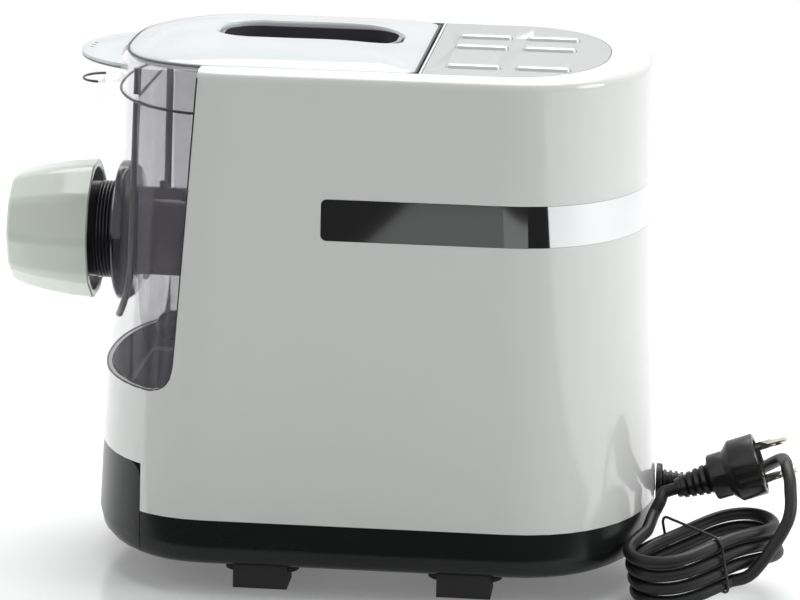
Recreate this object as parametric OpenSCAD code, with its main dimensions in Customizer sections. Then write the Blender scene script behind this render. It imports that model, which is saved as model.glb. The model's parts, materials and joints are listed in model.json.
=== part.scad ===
// Electric pasta maker: a casing over a dark base, a clear mixing bowl with a paddle and an auger,
// an extruder nut at the front, a storage drawer below and a geared motor behind.
// The front faces -Y, heights run along +Z from the table, and sizes are in millimetres.

/* [Body] */
// Width of the body at the seam between casing and base
body_w = 213.5; // [200:0.5:240]
// Length of the body at that seam
body_len = 316; // [306:1:350]
// Height of the casing's rim above the table
rim_z = 291; // [285:1:310]
// Height of the seam between casing and base
seam_z = 42; // [38:1:50]
// Height of the base's underside above the table
under_z = 14; // [12:0.5:18]
// Wall of the casing and the base
wall = 3; // [2:0.5:4]
// Lean of the long sides, in degrees
side_lean = 0.63; // [0:0.01:1.2]
// Lean of the front and the rear, in degrees
end_lean = 2.4; // [0:0.1:3]
// Length of the bowed front end
front_bow = 72; // [60:1:90]
// Length of the bowed rear end
rear_bow = 80; // [60:1:100]
// Squareness of the bowed ends, where 2 is an ellipse
bow_power = 2.2; // [2:0.05:2.8]
// Rounding of the casing's top edge
rim_round = 5; // [2:0.5:7]
// Rounding of the base's bottom edge
keel_round = 14; // [8:1:18]
// Gap at the seams between outer pieces
seam = 0.4; // [0.2:0.1:0.8]

/* [Chamber] */
// Height of the extruder's axis
axis_z = 180; // [176:1:184]
// Height of the chamber opening's lower edge
sill_z = 111; // [105:1:114]
// Corner radius at the opening's lower end
sill_round = 16; // [6:1:20]
// From the front of the body to the opening's edge, at the rim
mouth_top = 65; // [60:1:70]
// From the front of the body to the opening's edge, at the sill
mouth_low = 52; // [46:1:58]
// Outer radius of the mixing bowl
bowl_r = 68; // [66:0.5:68.5]
// Wall of the bowl and the clear covers
clear_wall = 2.5; // [2:0.1:3]
// From the front of the body to the bowl's front edge
bowl_setback = 28.2; // [27:0.2:31]
// How far the lid's skirt reaches below the rim
lid_drop = 23; // [19:1:29]

/* [Lid] */
// From the front of the body to the lid's rear edge
lid_reach = 180; // [176:1:186]
// Width of the lid
lid_w = 170; // [164:1:176]
// How far the lid rises above the rim
lid_crown = 7.5; // [3:0.5:10]
// Thickness of the lid
lid_t = 3; // [2:0.5:4]
// Length of the pouring slot
slot_len = 102; // [80:1:110]
// Width of the pouring slot
slot_w = 56; // [30:1:64]
// Depth of the liner below the slot
slot_depth = 18; // [8:1:24]
// Radius of the lid's hinge pins
hinge_r = 1.5; // [1:0.1:1.8]
// Radius of the brim's outer edge
brim_r = 69; // [66:1:74]
// How far the brim stands in front of the body
brim_out = 14; // [10:1:18]

/* [Extruder] */
// Length of the nut
nut_len = 47.3; // [44:0.1:56]
// Radius of the nut's rear rim
nut_r = 38.5; // [37:0.5:42]
// Radius of the nut's front face
nut_front_r = 29; // [28:0.5:33]
// Number of flats round the nut
nut_flats = 10; // [8:1:12]
// Gap between the nut and the flange
neck_gap = 13; // [8:0.5:14]
// Outer radius of the extruder barrel
barrel_r = 25; // [24:0.5:26]
// Wall of the barrel
barrel_wall = 4.5; // [4:0.5:5]
// Outer radius of the flange
flange_r = 39.5; // [37:0.5:43]
// Radial gap round the auger
auger_gap = 0.8; // [0.5:0.1:1.2]
// Radius of the paddle's bar
bar_r = 8.5; // [5:0.5:9]

/* [Trim and panel] */
// Lower edge of the steel band
band_z = 201.4; // [190:0.1:215]
// Height of the steel band
band_h = 22.6; // [15:0.1:30]
// Length of the band's straight run along the side, from its end to the bowed rear
band_run = 96; // [60:1:120]
// Thickness of the band
band_t = 0.9; // [0.6:0.1:1.2]
// Border of casing behind the control panel
panel_border = 23.2; // [20:0.2:26]
// Length of a button, as a share of the panel's length
button_share = 0.3056; // [0.25:0.0001:0.32]
// Distance between the two rows of buttons, as a share of the panel's length
button_pitch = 0.387; // [0.35:0.001:0.42]
// Distance between the two buttons that stand together
button_gap = 35; // [20:0.5:40]
// Distance from them to the buttons across the bare middle
display_gap = 64; // [50:0.5:66]
// Width of a button
button_w = 7; // [6:0.5:8]
// Height of a button above the panel
button_h = 2; // [1:0.1:3]
// Travel of a button
button_travel = 1; // [0.5:0.1:1.2]

/* [Drawer and feet] */
// Height of the drawer front's upper edge
drawer_top_z = 68.5; // [62:0.5:76]
// From the front of the body to the drawer front's rear edge
drawer_split = 34.5; // [30:0.5:38]
// Width of the drawer tray
tray_w = 138; // [120:1:140]
// Length of the drawer tray
tray_len = 88; // [60:1:95]
// Distance between the feet across the body
feet_span = 160; // [140:1:164]
// Length of a foot's rubber block
foot_len = 30; // [24:1:36]

/* [Drive] */
// Radius of the output shaft
shaft_r = 7; // [5:0.5:8]
// Module of the second gear stage
slow_module = 2; // [1.8:0.1:2]
// Module of the first gear stage
fast_module = 1.5; // [1.3:0.1:1.5]
// Distance between the output axis and the motor axis
motor_drop = 87; // [80:1:96]
// Radius of the motor's can
motor_r = 38; // [32:1:40]
// Room behind the motor, for its fan and the air
motor_room = 33.4; // [30:0.2:50]

/* [Lead] */
// Diameter of the mains lead
lead_d = 7; // [6:0.5:7]
// Radius of the gland's flange
gland_r = 9.75; // [8:0.25:11]
// Length of the gland behind its flange
gland_len = 16.5; // [14:0.5:18]
// Number of piled loops in the tied hank
hank_loops = 4; // [3:1:4]
// Length of the hank, at the middle of the lead
hank_len = 88; // [84:1:92]
// Width of the hank before it is drawn in, at the middle of the lead
hank_wid = 64; // [62:1:68]
// Share by which the waist is drawn in
hank_waist = 0.3; // [0.25:0.01:0.32]
// Gap between piled loops
hank_gap = 0.9; // [0.7:0.1:1]
// Thickness of the wire tie
tie_t = 1.6; // [1:0.1:2]
// Place of the tie along the hank, from its middle
tie_place = -6; // [-8:1:-4]
// Length of the plug behind its face
plug_len = 49; // [45:1:52]
// Radius of the plug's face
plug_r = 17.5; // [17:0.1:18]
// Length of the plug's pins
pin_len = 19; // [17:0.1:20]
// Diameter of the plug's pins
pin_d = 4.8; // [4:0.1:4.8]

/* [Hidden] */

$fn = 48;
tiny = 0.05;          // running clearance of round fits
seat = 0.3;           // gap where one piece rests near another
far = 400;            // reach of cutting blocks

// Places along Y, from the nut's face at the front to the rear of the base
flange_proud = -1.7;
cover_lean = (axis_z - seam_z) * tan(end_lean);
nose_len = neck_gap + nut_len + flange_proud - cover_lean;
rear_y = (body_len + nose_len) / 2;
front_y = rear_y - body_len;
nut_face_y = front_y - nose_len;
nut_rear_y = nut_face_y + nut_len;
flange_y = nut_rear_y + neck_gap;
bowl_front_y = front_y + bowl_setback;
lid_rear_y = front_y + lid_reach;
bowl_back_y = lid_rear_y - 10.4;
split_y = front_y + drawer_split;
mouth_top_y = front_y + mouth_top;
mouth_low_y = front_y + mouth_low;
panel_front_y = lid_rear_y + 4.2;
roof_z = rim_z - wall;
lid_seam_z = rim_z - lid_drop;

// Outline of the body at height z, moved in by inset: bowed rear, straight sides, bowed front
bow_steps = 22;
function bow(t, p) = sign(t) * pow(abs(t), 2 / p);
function plan(half_w, front, rear, front_len, rear_len, p) = concat(
    [for (i = [0:bow_steps]) let (a = 180 * i / bow_steps)
        [half_w * bow(cos(a), p), rear - rear_len + rear_len * bow(sin(a), p)]],
    [for (i = [0:bow_steps]) let (a = 180 * i / bow_steps)
        [-half_w * bow(cos(a), p), front + front_len - front_len * bow(sin(a), p)]]);
function body_plan(z, inset = 0) =
    let (side_in = (z - seam_z) * tan(side_lean) + inset, end_in = (z - seam_z) * tan(end_lean) + inset)
    plan(body_w / 2 - side_in, front_y + end_in, rear_y - end_in, front_bow - inset, rear_bow - inset, bow_power);
function at(points, z) = [for (p = points) [p[0], p[1], z]];
function round_inset(r, h) = r - sqrt(max(0, r * r - (r - h) * (r - h)));

// A closed skin through rings of equally many points, from the lowest ring to the highest
module loft(rings) {
    n = len(rings[0]);
    m = len(rings);
    polyhedron(points = [for (r = rings) each r], faces = concat(
        [[for (i = [0:n - 1]) i]],
        [for (j = [0:m - 2], i = [0:n - 1]) let (k = (i + 1) % n) [j * n + i, (j + 1) * n + i, (j + 1) * n + k]],
        [for (j = [0:m - 2], i = [0:n - 1]) let (k = (i + 1) % n) [j * n + i, (j + 1) * n + k, j * n + k]],
        [[for (i = [n - 1:-1:0]) (m - 1) * n + i]]));
}

// The body's outer form between two heights, with its rounded rim when it reaches the top
module body_form(z0, z1, inset = 0) {
    loft([at(body_plan(z0, inset), z0), at(body_plan(z1, inset), z1)]);
}
module rimmed_form(z0) {
    loft(concat([at(body_plan(z0), z0)],
        [for (a = [0:30:90]) let (z = rim_z - rim_round * (1 - sin(a)))
            at(body_plan(z, rim_round * (1 - cos(a))), z)]));
}
module keeled_form(z1, inset = 0) {
    loft(concat([for (h = [0, 0.06, 0.22, 0.5, 1] * keel_round) let (z = under_z + h)
            at(body_plan(z, inset + round_inset(keel_round, h)), z)],
        [at(body_plan(z1, inset), z1)]));
}

// The chamber's mouth seen from the side, with the gap g taken off its edges
mouth_dir = (mouth_top_y - mouth_low_y) / (rim_z - sill_z);
function mouth_y(z, g) = mouth_low_y + (z - sill_z) * mouth_dir - g;
module mouth_cut(g = 0) {
    corner_y = mouth_y(sill_z + sill_round, g) - sill_round;
    rotate([90, 0, 90]) translate([0, 0, -far / 2]) linear_extrude(far) polygon(concat(
        [[-far, rim_z + 30], [-far, sill_z + g]],
        [for (a = [-90:15:0]) [corner_y + sill_round * cos(a), sill_z + g + sill_round * (1 + sin(a))]],
        [[mouth_y(rim_z + 30, g), rim_z + 30]]));
}

// A round bar along Y from y0 to y1
module bar_y(x, z, y0, y1, r) {
    translate([x, y1, z]) rotate([90, 0, 0]) cylinder(h = y1 - y0, r = r);
}
// A pill outline along Y
module pill(length, width) {
    for (s = [-1, 1]) translate([0, s * (length - width) / 2]) circle(d = width);
    square([width, length - width], center = true);
}
module slab(x0, x1, y0, y1, z0, z1) {
    translate([x0, y0, z0]) cube([x1 - x0, y1 - y0, z1 - z0]);
}

// ---------- casing, base and trim ----------

lid_gap = 0.9;
lid_swing = 2.6;                       // gap behind the lid, for its rear edge as it turns
module lid_well(z0, z1, gap) {
    slab(-lid_w / 2 - gap, lid_w / 2 + gap, mouth_top_y - 40, lid_rear_y + lid_swing, z0, z1);
}
panel_rear_y = rear_y - (rim_z - seam_z) * tan(end_lean) - panel_border;
module panel_area(border_add, front_add) {
    intersection() {
        polygon(plan(lid_w / 2 - border_add, front_y, panel_rear_y - border_add, front_bow,
            rear_bow - panel_border - border_add, bow_power));
        translate([-far / 2, panel_front_y + front_add]) square(far);
    }
}
band_front_y = rear_y - (band_z - seam_z) * tan(end_lean) - rear_bow - band_run;
module band_side(gap) {
    corner = 3;
    rotate([90, 0, 90]) translate([0, 0, -far / 2]) linear_extrude(far) union() {
        translate([band_front_y + corner - gap, band_z - gap]) square([far, band_h + 2 * gap]);
        translate([band_front_y - gap, band_z + corner]) square([far, band_h - 2 * corner]);
        for (z = [band_z + corner, band_z + band_h - corner])
            translate([band_front_y + corner, z]) circle(r = corner + gap);
    }
}
module main_shell() {
    color("whitesmoke") difference() {
        rimmed_form(seam_z);
        loft([at(body_plan(seam_z - 5, wall), seam_z - 5), at(body_plan(roof_z, wall), roof_z)]);
        mouth_cut();
        lid_well(roof_z - 1, rim_z + 1, lid_gap);
        translate([0, 0, roof_z - 1]) linear_extrude(wall + 2) panel_area(-seam, -seam);
        slab(-far / 2, far / 2, -far, split_y, seam_z - 6, drawer_top_z + seam);
        intersection() {
            difference() {
                body_form(band_z - 4, band_z + band_h + 4, -2);
                body_form(band_z - 5, band_z + band_h + 5, band_t + seat);
            }
            band_side(0.2);
        }
    }
}
module base_tray() {
    boss = keel_round + 6;
    color("dimgray") difference() {
        union() {
            difference() {
                keeled_form(seam_z - tiny, 0.6);
                loft([at(body_plan(under_z + wall, boss), under_z + wall),
                    at(body_plan(under_z + keel_round, wall + 0.6), under_z + keel_round),
                    at(body_plan(seam_z + 5, wall + 0.6), seam_z + 5)]);
            }
            for (p = board_posts) translate([p[0], p[1], under_z + 1]) cylinder(h = board_z - under_z - 1, r = 4);
        }
        slab(-far / 2, far / 2, -far, split_y, under_z - 5, seam_z + 5);
        for (i = [-3:3]) translate([i * 9, vent_y, under_z - 1]) linear_extrude(wall + 2) pill(32, 4);
        for (p = screw_places) translate([p[0], p[1], under_z - 1]) cylinder(h = 2.2, r = screw_head_r + 0.3);
    }
}
vent_y = rear_y - 70;
screw_head_r = 3.5;
screw_places = [for (x = [-1, 1], y = [split_y + 20, 25, rear_y - 34]) [x * 52, y]];
module base_screws() {
    color("darkgray") for (p = screw_places) translate([p[0], p[1], under_z]) {
        difference() {
            cylinder(h = 1.2, r = screw_head_r);
            for (a = [0, 90]) rotate(a) translate([-2.2, -0.4, -1]) cube([4.4, 0.8, 1.7]);
        }
    }
}
foot_y = [front_y + 101.5, rear_y - 101.5];
module foot() {
    ear = 5.5;
    color("black") {
        translate([0, 0, under_z / 2]) cube([24, foot_len, under_z], center = true);
        translate([0, 0, under_z - 5]) linear_extrude(3) pill(foot_len + 2 * ear, 20);
    }
}
module foot_at(side, i) {
    translate([side * feet_span / 2, foot_y[i], 0]) foot();
}
module trim_band() {
    color("silver") intersection() {
        difference() {
            body_form(band_z - 4, band_z + band_h + 4, 0);
            body_form(band_z - 5, band_z + band_h + 5, band_t);
        }
        band_side(0);
    }
}

// ---------- top frame, panel and buttons ----------

rail_t = 3.6;
rail_h = 8;
hinge_y = lid_rear_y - 2.6;
hinge_z = rim_z - 4.7;
module top_frame() {
    inner = lid_w / 2 + lid_gap;
    color("lightgray") difference() {
        union() {
            for (s = [-1, 1]) translate([s * (inner + rail_t / 2), (mouth_top_y + panel_front_y) / 2 + 4, roof_z - rail_h / 2])
                cube([rail_t, panel_front_y - mouth_top_y - 4, rail_h], center = true);
            slab(-inner - rail_t, inner + rail_t, panel_front_y + 1.2, panel_front_y + 6, roof_z - rail_h, roof_z);
            translate([0, 0, roof_z - 4]) linear_extrude(4) difference() {
                panel_area(-3, 1.2);
                panel_area(2.5, 6);
            }
            for (p = key_posts) translate([p[0], p[1], control_z + 1.6]) cylinder(h = roof_z - 1 - control_z - 1.6, r = 3);
        }
        translate([-far / 2, hinge_y, hinge_z]) rotate([0, 90, 0]) cylinder(h = far, r = hinge_r + tiny);
    }
}
module panel_plate() {
    color("silver") translate([0, 0, roof_z]) difference() {
        linear_extrude(wall) panel_area(0, 0);
        for (p = button_places) translate([p[0], p[1], -1]) linear_extrude(wall + 2)
            pill(button_len + 2 * seat, button_w + 2 * seat);
    }
}
panel_len = panel_rear_y - panel_front_y;
button_len = panel_len * button_share;
button_rows = [for (s = [-0.5, 0.5]) panel_front_y + panel_len * (0.458 + s * button_pitch)];
button_places = [for (y = button_rows, x = [-4 - button_gap, -4, display_gap - 4]) [x, y]];
control_z = roof_z - 14;
key_posts = [for (x = [-1, 1], y = [panel_front_y + 4.2, panel_rear_y - 44])
    [x * (y < panel_front_y + 10 ? 50 : lid_w / 2 - 4), y]];
module control_board() {
    color("seagreen") translate([0, 0, control_z]) linear_extrude(1.6) difference() {
        translate([-84, panel_front_y + 1.2]) square([168, panel_len - 10.2]);
        for (s = [-1, 1]) translate([s * 70, panel_rear_y - 9]) rotate(45) square(26, center = true);
    }
}
module key_switches() {
    color("dimgray") for (p = button_places) translate([p[0], p[1], control_z + 1.6]) {
        translate([-3, -3, 0]) cube([6, 6, 3.5]);
        cylinder(h = roof_z - 3 - button_travel - 0.3 - control_z - 1.6, r = 1.7);
    }
}
module button(i) {
    p = button_places[i];
    color("silver") translate([p[0], p[1], 0]) {
        translate([0, 0, roof_z]) linear_extrude(wall + button_h - 0.8) pill(button_len, button_w);
        translate([0, 0, rim_z + button_h - 0.8]) linear_extrude(0.8) pill(button_len - 1.6, button_w - 1.6);
        translate([0, 0, roof_z - 3]) cylinder(h = 3, r = 2.5);
    }
}

// ---------- bowl ----------

bowl_top_z = rim_z - 7;
module trough(r) {
    translate([0, axis_z]) circle(r = r, $fn = 96);
    translate([-r, axis_z]) square([2 * r, bowl_top_z - axis_z]);
}
module mixing_bowl() {
    flange_x = lid_w / 2 + lid_gap - 0.1;
    color("thistle", 0.5) difference() {
        union() {
            translate([0, bowl_back_y, 0]) rotate([90, 0, 0]) linear_extrude(bowl_back_y - bowl_front_y) trough(bowl_r);
            slab(-flange_x, flange_x, mouth_top_y + 1, bowl_back_y + 1.5, bowl_top_z - 2.5, bowl_top_z);
        }
        translate([0, bowl_back_y - clear_wall, 0]) rotate([90, 0, 0]) linear_extrude(far) intersection() {
            union() {
                trough(bowl_r - clear_wall);
                translate([clear_wall - bowl_r, axis_z]) square([2 * (bowl_r - clear_wall), far]);
            }
            square(far * 2, center = true);
        }
        bar_y(0, axis_z, bowl_back_y - 10, bowl_back_y + 10, seal_r + tiny);
    }
}
seal_r = shaft_r + 5;
module shaft_seal() {
    color("black") difference() {
        union() {
            bar_y(0, axis_z, bowl_back_y - clear_wall, bowl_back_y, seal_r);
            bar_y(0, axis_z, bowl_back_y - clear_wall - 3, bowl_back_y - clear_wall, seal_r + 2.5);
        }
        bar_y(0, axis_z, bowl_back_y - 10, bowl_back_y + 10, shaft_r + tiny);
    }
}

// ---------- gearbox and motor ----------

slow_small = 16;
slow_big = 48;
fast_small = 12;
fast_big = 48;
slow_dist = slow_module * (slow_small + slow_big) / 2;
fast_dist = fast_module * (fast_small + fast_big) / 2;
idler_down = (slow_dist * slow_dist - fast_dist * fast_dist + motor_drop * motor_drop) / (2 * motor_drop);
idler_x = sqrt(slow_dist * slow_dist - idler_down * idler_down);
idler_z = axis_z - idler_down;
motor_z = axis_z - motor_drop;
plate_t = 4;
cover_y = bowl_back_y;                 // front face of the gearbox cover
cavity_y = cover_y + plate_t;
cavity_len = 23;
back_y = cavity_y + cavity_len;        // front face of the gearbox's back plate
motor_y = back_y + plate_t;
motor_len = rear_y - motor_room - motor_y;
slow_y = cavity_y + 1.5;
slow_t = 9;
fast_y = slow_y + slow_t + 2;
fast_t = 7;
module gear_case(grow) {
    hull() {
        translate([0, axis_z]) circle(r = slow_module * slow_big / 2 + 4 + grow, $fn = 32);
        translate([idler_x, idler_z]) circle(r = fast_module * fast_big / 2 + 4 + grow, $fn = 32);
        translate([0, motor_z]) circle(r = 22 + grow, $fn = 32);
    }
}
module xz_plate(y, t) {
    translate([0, y + t, 0]) rotate([90, 0, 0]) linear_extrude(t) children();
}
bush_r = shaft_r + 4;
bracket_x = -13;                       // left side of the leg that stands on the base
bracket_w = 50;
module gearbox_cover() {
    color("slategray") difference() {
        xz_plate(cover_y, plate_t) gear_case(4);
        bar_y(0, axis_z, cover_y - 1, cavity_y + 1, bush_r + tiny);
    }
}
module gearbox_housing() {
    color("lightslategray") difference() {
        union() {
            xz_plate(cavity_y, cavity_len) difference() {
                gear_case(4);
                gear_case(0);
            }
            xz_plate(back_y, plate_t) gear_case(4);
            slab(bracket_x, bracket_x + bracket_w, back_y, back_y + plate_t, under_z + wall, motor_z - 20);
            slab(bracket_x, bracket_x + bracket_w, back_y, back_y + 24, under_z + wall, under_z + wall + plate_t);
        }
        bar_y(0, axis_z, back_y - 1, motor_y + 1, bush_r + tiny);
        bar_y(0, motor_z, back_y - 1, motor_y + 1, 6);
    }
}
module output_bearings() {
    color("goldenrod") for (y = [cover_y, back_y]) difference() {
        bar_y(0, axis_z, y, y + plate_t, bush_r);
        bar_y(0, axis_z, y - 1, y + plate_t + 1, shaft_r + tiny);
    }
}
module idler_pin() {
    color("silver") bar_y(idler_x, idler_z, cavity_y, back_y, 4);
}
module gearbox_screws() {
    spots = [[-30, 48], [30, 48], [-52, 22], [54, 22]];
    color("darkgray") for (p = spots) bar_y(p[0], axis_z + p[1] - 18, motor_y, motor_y + 2.5, 3);
}
// Teeth with involute flanks, thinned for backlash
pressure = 25;
function involute(rb, t) = [rb * (cos(t) + t * PI / 180 * sin(t)), rb * (sin(t) - t * PI / 180 * cos(t))];
function turned(p, a) = [p[0] * cos(a) - p[1] * sin(a), p[0] * sin(a) + p[1] * cos(a)];
function roll_at(rb, r) = sqrt(max(0, (r / rb) * (r / rb) - 1)) * 180 / PI;
function polar_at(rb, r) = roll_at(rb, r) - acos(min(1, rb / r));
function gear_points(m, n, flank = 3) =
    let (rp = m * n / 2, rb = rp * cos(pressure), ra = rp + 0.9 * m, rf = rp - 1.2 * m,
        half = 90 / n - 0.09 * m / rp * 180 / PI + polar_at(rb, rp), low = max(rb, rf))
    [for (k = [0:n - 1]) let (c = 360 * k / n) each concat(
        [[rf * cos(c - half), rf * sin(c - half)]],
        [for (i = [0:flank]) let (r = low + (ra - low) * i / flank, a = c - half + polar_at(rb, r)) [r * cos(a), r * sin(a)]],
        [for (i = [flank:-1:0]) let (r = low + (ra - low) * i / flank, a = c + half - polar_at(rb, r)) [r * cos(a), r * sin(a)]],
        [[rf * cos(c + half), rf * sin(c + half)]])];
module gear_y(x, z, y, t, m, n, turn) {
    translate([x, y + t, z]) rotate([90, 0, 0]) linear_extrude(t) rotate(turn) polygon(gear_points(m, n));
}
// Angles of the centre lines, seen from the front, put a tooth of one gear in a gap of its mate
slow_line = atan2(idler_z - axis_z, idler_x);
fast_line = atan2(motor_z - idler_z, -idler_x);
output_turn = slow_line;
idler_turn = slow_line + 180 + 180 / slow_small;
idler_big_turn = fast_line;
pinion_turn = fast_line + 180 + 180 / fast_small;
module output_gear() {
    color("ivory") difference() {
        gear_y(0, axis_z, slow_y, slow_t, slow_module, slow_big, output_turn);
        bar_y(0, axis_z, slow_y - 1, slow_y + slow_t + 1, shaft_r + tiny);
    }
}
module idler_gear() {
    color("ivory") difference() {
        union() {
            gear_y(idler_x, idler_z, slow_y, slow_t + 1, slow_module, slow_small, idler_turn);
            gear_y(idler_x, idler_z, fast_y, fast_t, fast_module, fast_big, idler_big_turn);
            bar_y(idler_x, idler_z, slow_y + slow_t, fast_y, 12);
        }
        bar_y(idler_x, idler_z, cavity_y - 1, back_y + 1, 4 + tiny);
    }
}
rotor_r = 4;
module motor_pinion() {
    color("goldenrod") difference() {
        gear_y(0, motor_z, fast_y, fast_t, fast_module, fast_small, pinion_turn);
        bar_y(0, motor_z, fast_y - 1, fast_y + fast_t + 1, rotor_r + tiny);
    }
}
module motor() {
    end_t = 4;
    color("gray") difference() {
        bar_y(0, motor_z, motor_y, motor_y + motor_len, motor_r);
        bar_y(0, motor_z, motor_y + end_t, motor_y + motor_len - end_t, 16);
        bar_y(0, motor_z, motor_y - 1, motor_y + motor_len + 1, rotor_r + tiny);
    }
}
module rotor_shaft() {
    color("lightsteelblue") {
        bar_y(0, motor_z, fast_y - 3, motor_y + motor_len + 14, rotor_r);
        bar_y(0, motor_z, motor_y + 14, motor_y + motor_len - 14, 14.5);
    }
}
fan_y = motor_y + motor_len + 2.5;
hub_fan_r = 9;
module cooling_fan() {
    color("white") difference() {
        union() {
            bar_y(0, motor_z, fan_y, fan_y + 10, hub_fan_r);
            bar_y(0, motor_z, fan_y, fan_y + 1.5, motor_r - 4);
            for (i = [0:7]) translate([0, fan_y + 1, motor_z]) rotate([0, i * 45 + 10, 0])
                translate([hub_fan_r - 2, 0, -0.8]) cube([motor_r - hub_fan_r - 4, 7.5, 1.6]);
        }
        bar_y(0, motor_z, fan_y - 1, fan_y + 11, rotor_r + tiny);
    }
}

// ---------- mixing drive inside the bowl ----------

hub_r = 14;
hub_front_y = bowl_front_y + 58;
hub_back_y = bowl_back_y - clear_wall - 3 - seat;
paddle_r = bowl_r - clear_wall - 3 - bar_r;
paddle_turn = -66;
module drive_shaft() {
    color("lightsteelblue") {
        bar_y(0, axis_z, hub_back_y + seat, motor_y + 1, shaft_r);
        translate([0, hub_back_y + seat, axis_z]) rotate([90, 0, 0]) cylinder(h = 22, r = shaft_r, $fn = 6);
    }
}
module mixing_paddle() {
    arm_y = [hub_front_y + 8, hub_back_y - 10];
    tooth_gap = (hub_back_y - hub_front_y - 25.6) / 4;
    color("dimgray") difference() {
        union() {
            bar_y(0, axis_z, hub_front_y, hub_back_y, hub_r);
            translate([0, 0, axis_z]) rotate([0, -paddle_turn, 0]) {
                for (y = arm_y) translate([0, y - 5, -5]) cube([paddle_r, 10, 10]);
                translate([paddle_r, hub_back_y - 5, 0]) rotate([90, 0, 0])
                    cylinder(h = hub_back_y - 5 - bowl_front_y - bar_r - 4, r = bar_r);
                translate([paddle_r, bowl_front_y + bar_r + 4, 0]) sphere(r = bar_r);
                translate([-paddle_r + 6, arm_y[1] - 5, -4]) cube([paddle_r - 6, 10, 8]);
                for (k = [0:4]) translate([-20, hub_front_y + 8 + k * tooth_gap, 0]) rotate([90, 0, 0])
                    translate([0, 0, -2]) linear_extrude(4) polygon([[8, 8], [8, -8], [-14, 0]]);
            }
        }
        translate([0, hub_back_y + 1, axis_z]) rotate([90, 0, 0]) cylinder(h = 24, r = shaft_r + 0.2, $fn = 6);
        bar_y(0, axis_z, hub_front_y - 1, hub_front_y + 14, auger_core_r + 0.2);
    }
}
auger_r = barrel_r - barrel_wall - auger_gap;
auger_core_r = 6;
auger_turns = 3;
auger_y0 = nut_face_y + 14;
module auger_screw() {
    thread_len = hub_front_y - 4 - auger_y0;
    color("silver") {
        bar_y(0, axis_z, auger_y0, hub_front_y + 13.5, auger_core_r);
        translate([0, hub_front_y - 4, axis_z]) rotate([90, 0, 0])
            linear_extrude(thread_len, twist = 360 * auger_turns, slices = 16 * auger_turns)
            polygon([[0, -5], [auger_r - 2, -4], [auger_r, 0], [auger_r - 2, 4], [0, 5]]);
    }
}

// ---------- extruder and front cover ----------

barrel_y1 = bowl_front_y + 54;
neck_r = barrel_r + 2;
module extruder_barrel() {
    bore = barrel_r - barrel_wall;
    color("darkslategray") difference() {
        union() {
            bar_y(0, axis_z, nut_face_y + 8, flange_y + 9, neck_r);
            bar_y(0, axis_z, flange_y + 8, barrel_y1, barrel_r);
            for (i = [0:3]) bar_y(0, axis_z, nut_face_y + 14 + i * 6, nut_face_y + 17 + i * 6, neck_r + 1.2);
            translate([0, bowl_front_y + 4, axis_z + barrel_r - 1]) cylinder(h = 5, r = 2.4);
        }
        bar_y(0, axis_z, nut_face_y, barrel_y1 + 1, bore);
        slab(-14, 14, bowl_front_y + 16, bowl_front_y + 44, axis_z, axis_z + 40);
    }
}
module collar_flange() {
    color("black") translate([0, flange_y, axis_z]) rotate([-90, 0, 0]) rotate_extrude($fn = 96)
        polygon([[neck_r + tiny, 0], [flange_r - 1, 0], [flange_r, 1], [flange_r, 6.5], [flange_r - 3, 10.5],
            [neck_r + tiny, 10.5]]);
}
cover_plate_y = bowl_front_y - seat - clear_wall;
module front_cover() {
    low = sill_z + seat;
    high = lid_seam_z - seam / 2;
    color("thistle", 0.4) difference() {
        union() {
            intersection() {
                difference() {
                    body_form(low, high, 0);
                    body_form(low - 5, high + 5, clear_wall);
                }
                mouth_cut(seam);
            }
            intersection() {
                body_form(low, high, 1);
                slab(-far, far, cover_plate_y, cover_plate_y + clear_wall, low, high);
            }
        }
        bar_y(0, axis_z, -far, cover_plate_y - 1, flange_r + seat);
        bar_y(0, axis_z, -far, far, barrel_r + tiny);
    }
}
module shaping_disc() {
    color("goldenrod") difference() {
        bar_y(0, axis_z, nut_face_y + 4, nut_face_y + 8, neck_r);
        for (i = [0:7]) translate([0, 0, axis_z]) rotate([0, i * 45, 0]) bar_y(11, 0, nut_face_y, nut_face_y + 9, 2.4);
    }
}
nut_steps = 4;
function nut_edge(r, k) =
    let (a = 360 * k / (nut_flats * nut_steps), d = a % (360 / nut_flats) - 180 / nut_flats)
    min(r / cos(d), r * 1.03) * [cos(a), sin(a)];
module nut_form() {
    steps = [[0, 0], [0.3, 0.12], [0.6, 0.36], [0.85, 0.66], [0.96, 0.88], [1, 1]];
    loft([for (s = steps) let (r = nut_r - (nut_r - nut_front_r) * s[1])
        at([for (k = [0:nut_flats * nut_steps - 1]) nut_edge(r, k)], s[0] * nut_len)]);
}
module extruder_nut() {
    color("white") translate([0, nut_rear_y, axis_z]) rotate([90, 0, 0]) difference() {
        nut_form();
        translate([0, 0, -1]) cylinder(h = 9, r = nut_r - 3.5);
        translate([0, 0, 7]) cylinder(h = nut_len - 11 + seat, r = neck_r + 1.6);
        translate([0, 0, nut_len - 5]) cylinder(h = 10, r = neck_r - 5);
        translate([0, 0, nut_len - 2]) rotate_extrude() polygon([[0, 0], [neck_r - 5, 0], [neck_r - 2.8, 2.2], [0, 2.2]]);
    }
}
latch_z = lid_seam_z - 1.5;
latch_y = front_y + (lid_seam_z - seam_z) * tan(end_lean) - seat;
module latch_tab() {
    color("lavender", 0.6) {
        translate([0, latch_y - 11.5, latch_z]) intersection() {
            linear_extrude(2) scale([1.25, 1]) circle(r = 12);
            translate([-30, -30, -1]) cube([60, 41.5, 5]);
        }
        rotate([90, 0, 90]) translate([0, 0, -8]) linear_extrude(16) difference() {
            translate([latch_y - 8.5, latch_z - 7]) union() {
                circle(r = 5);
                translate([-5, 0]) square([10, 8]);
            }
            translate([latch_y - 8.5, latch_z - 7]) union() {
                circle(r = 3.6);
                translate([-3.6, 0]) square([7.2, 7.3]);
            }
        }
    }
}

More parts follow.
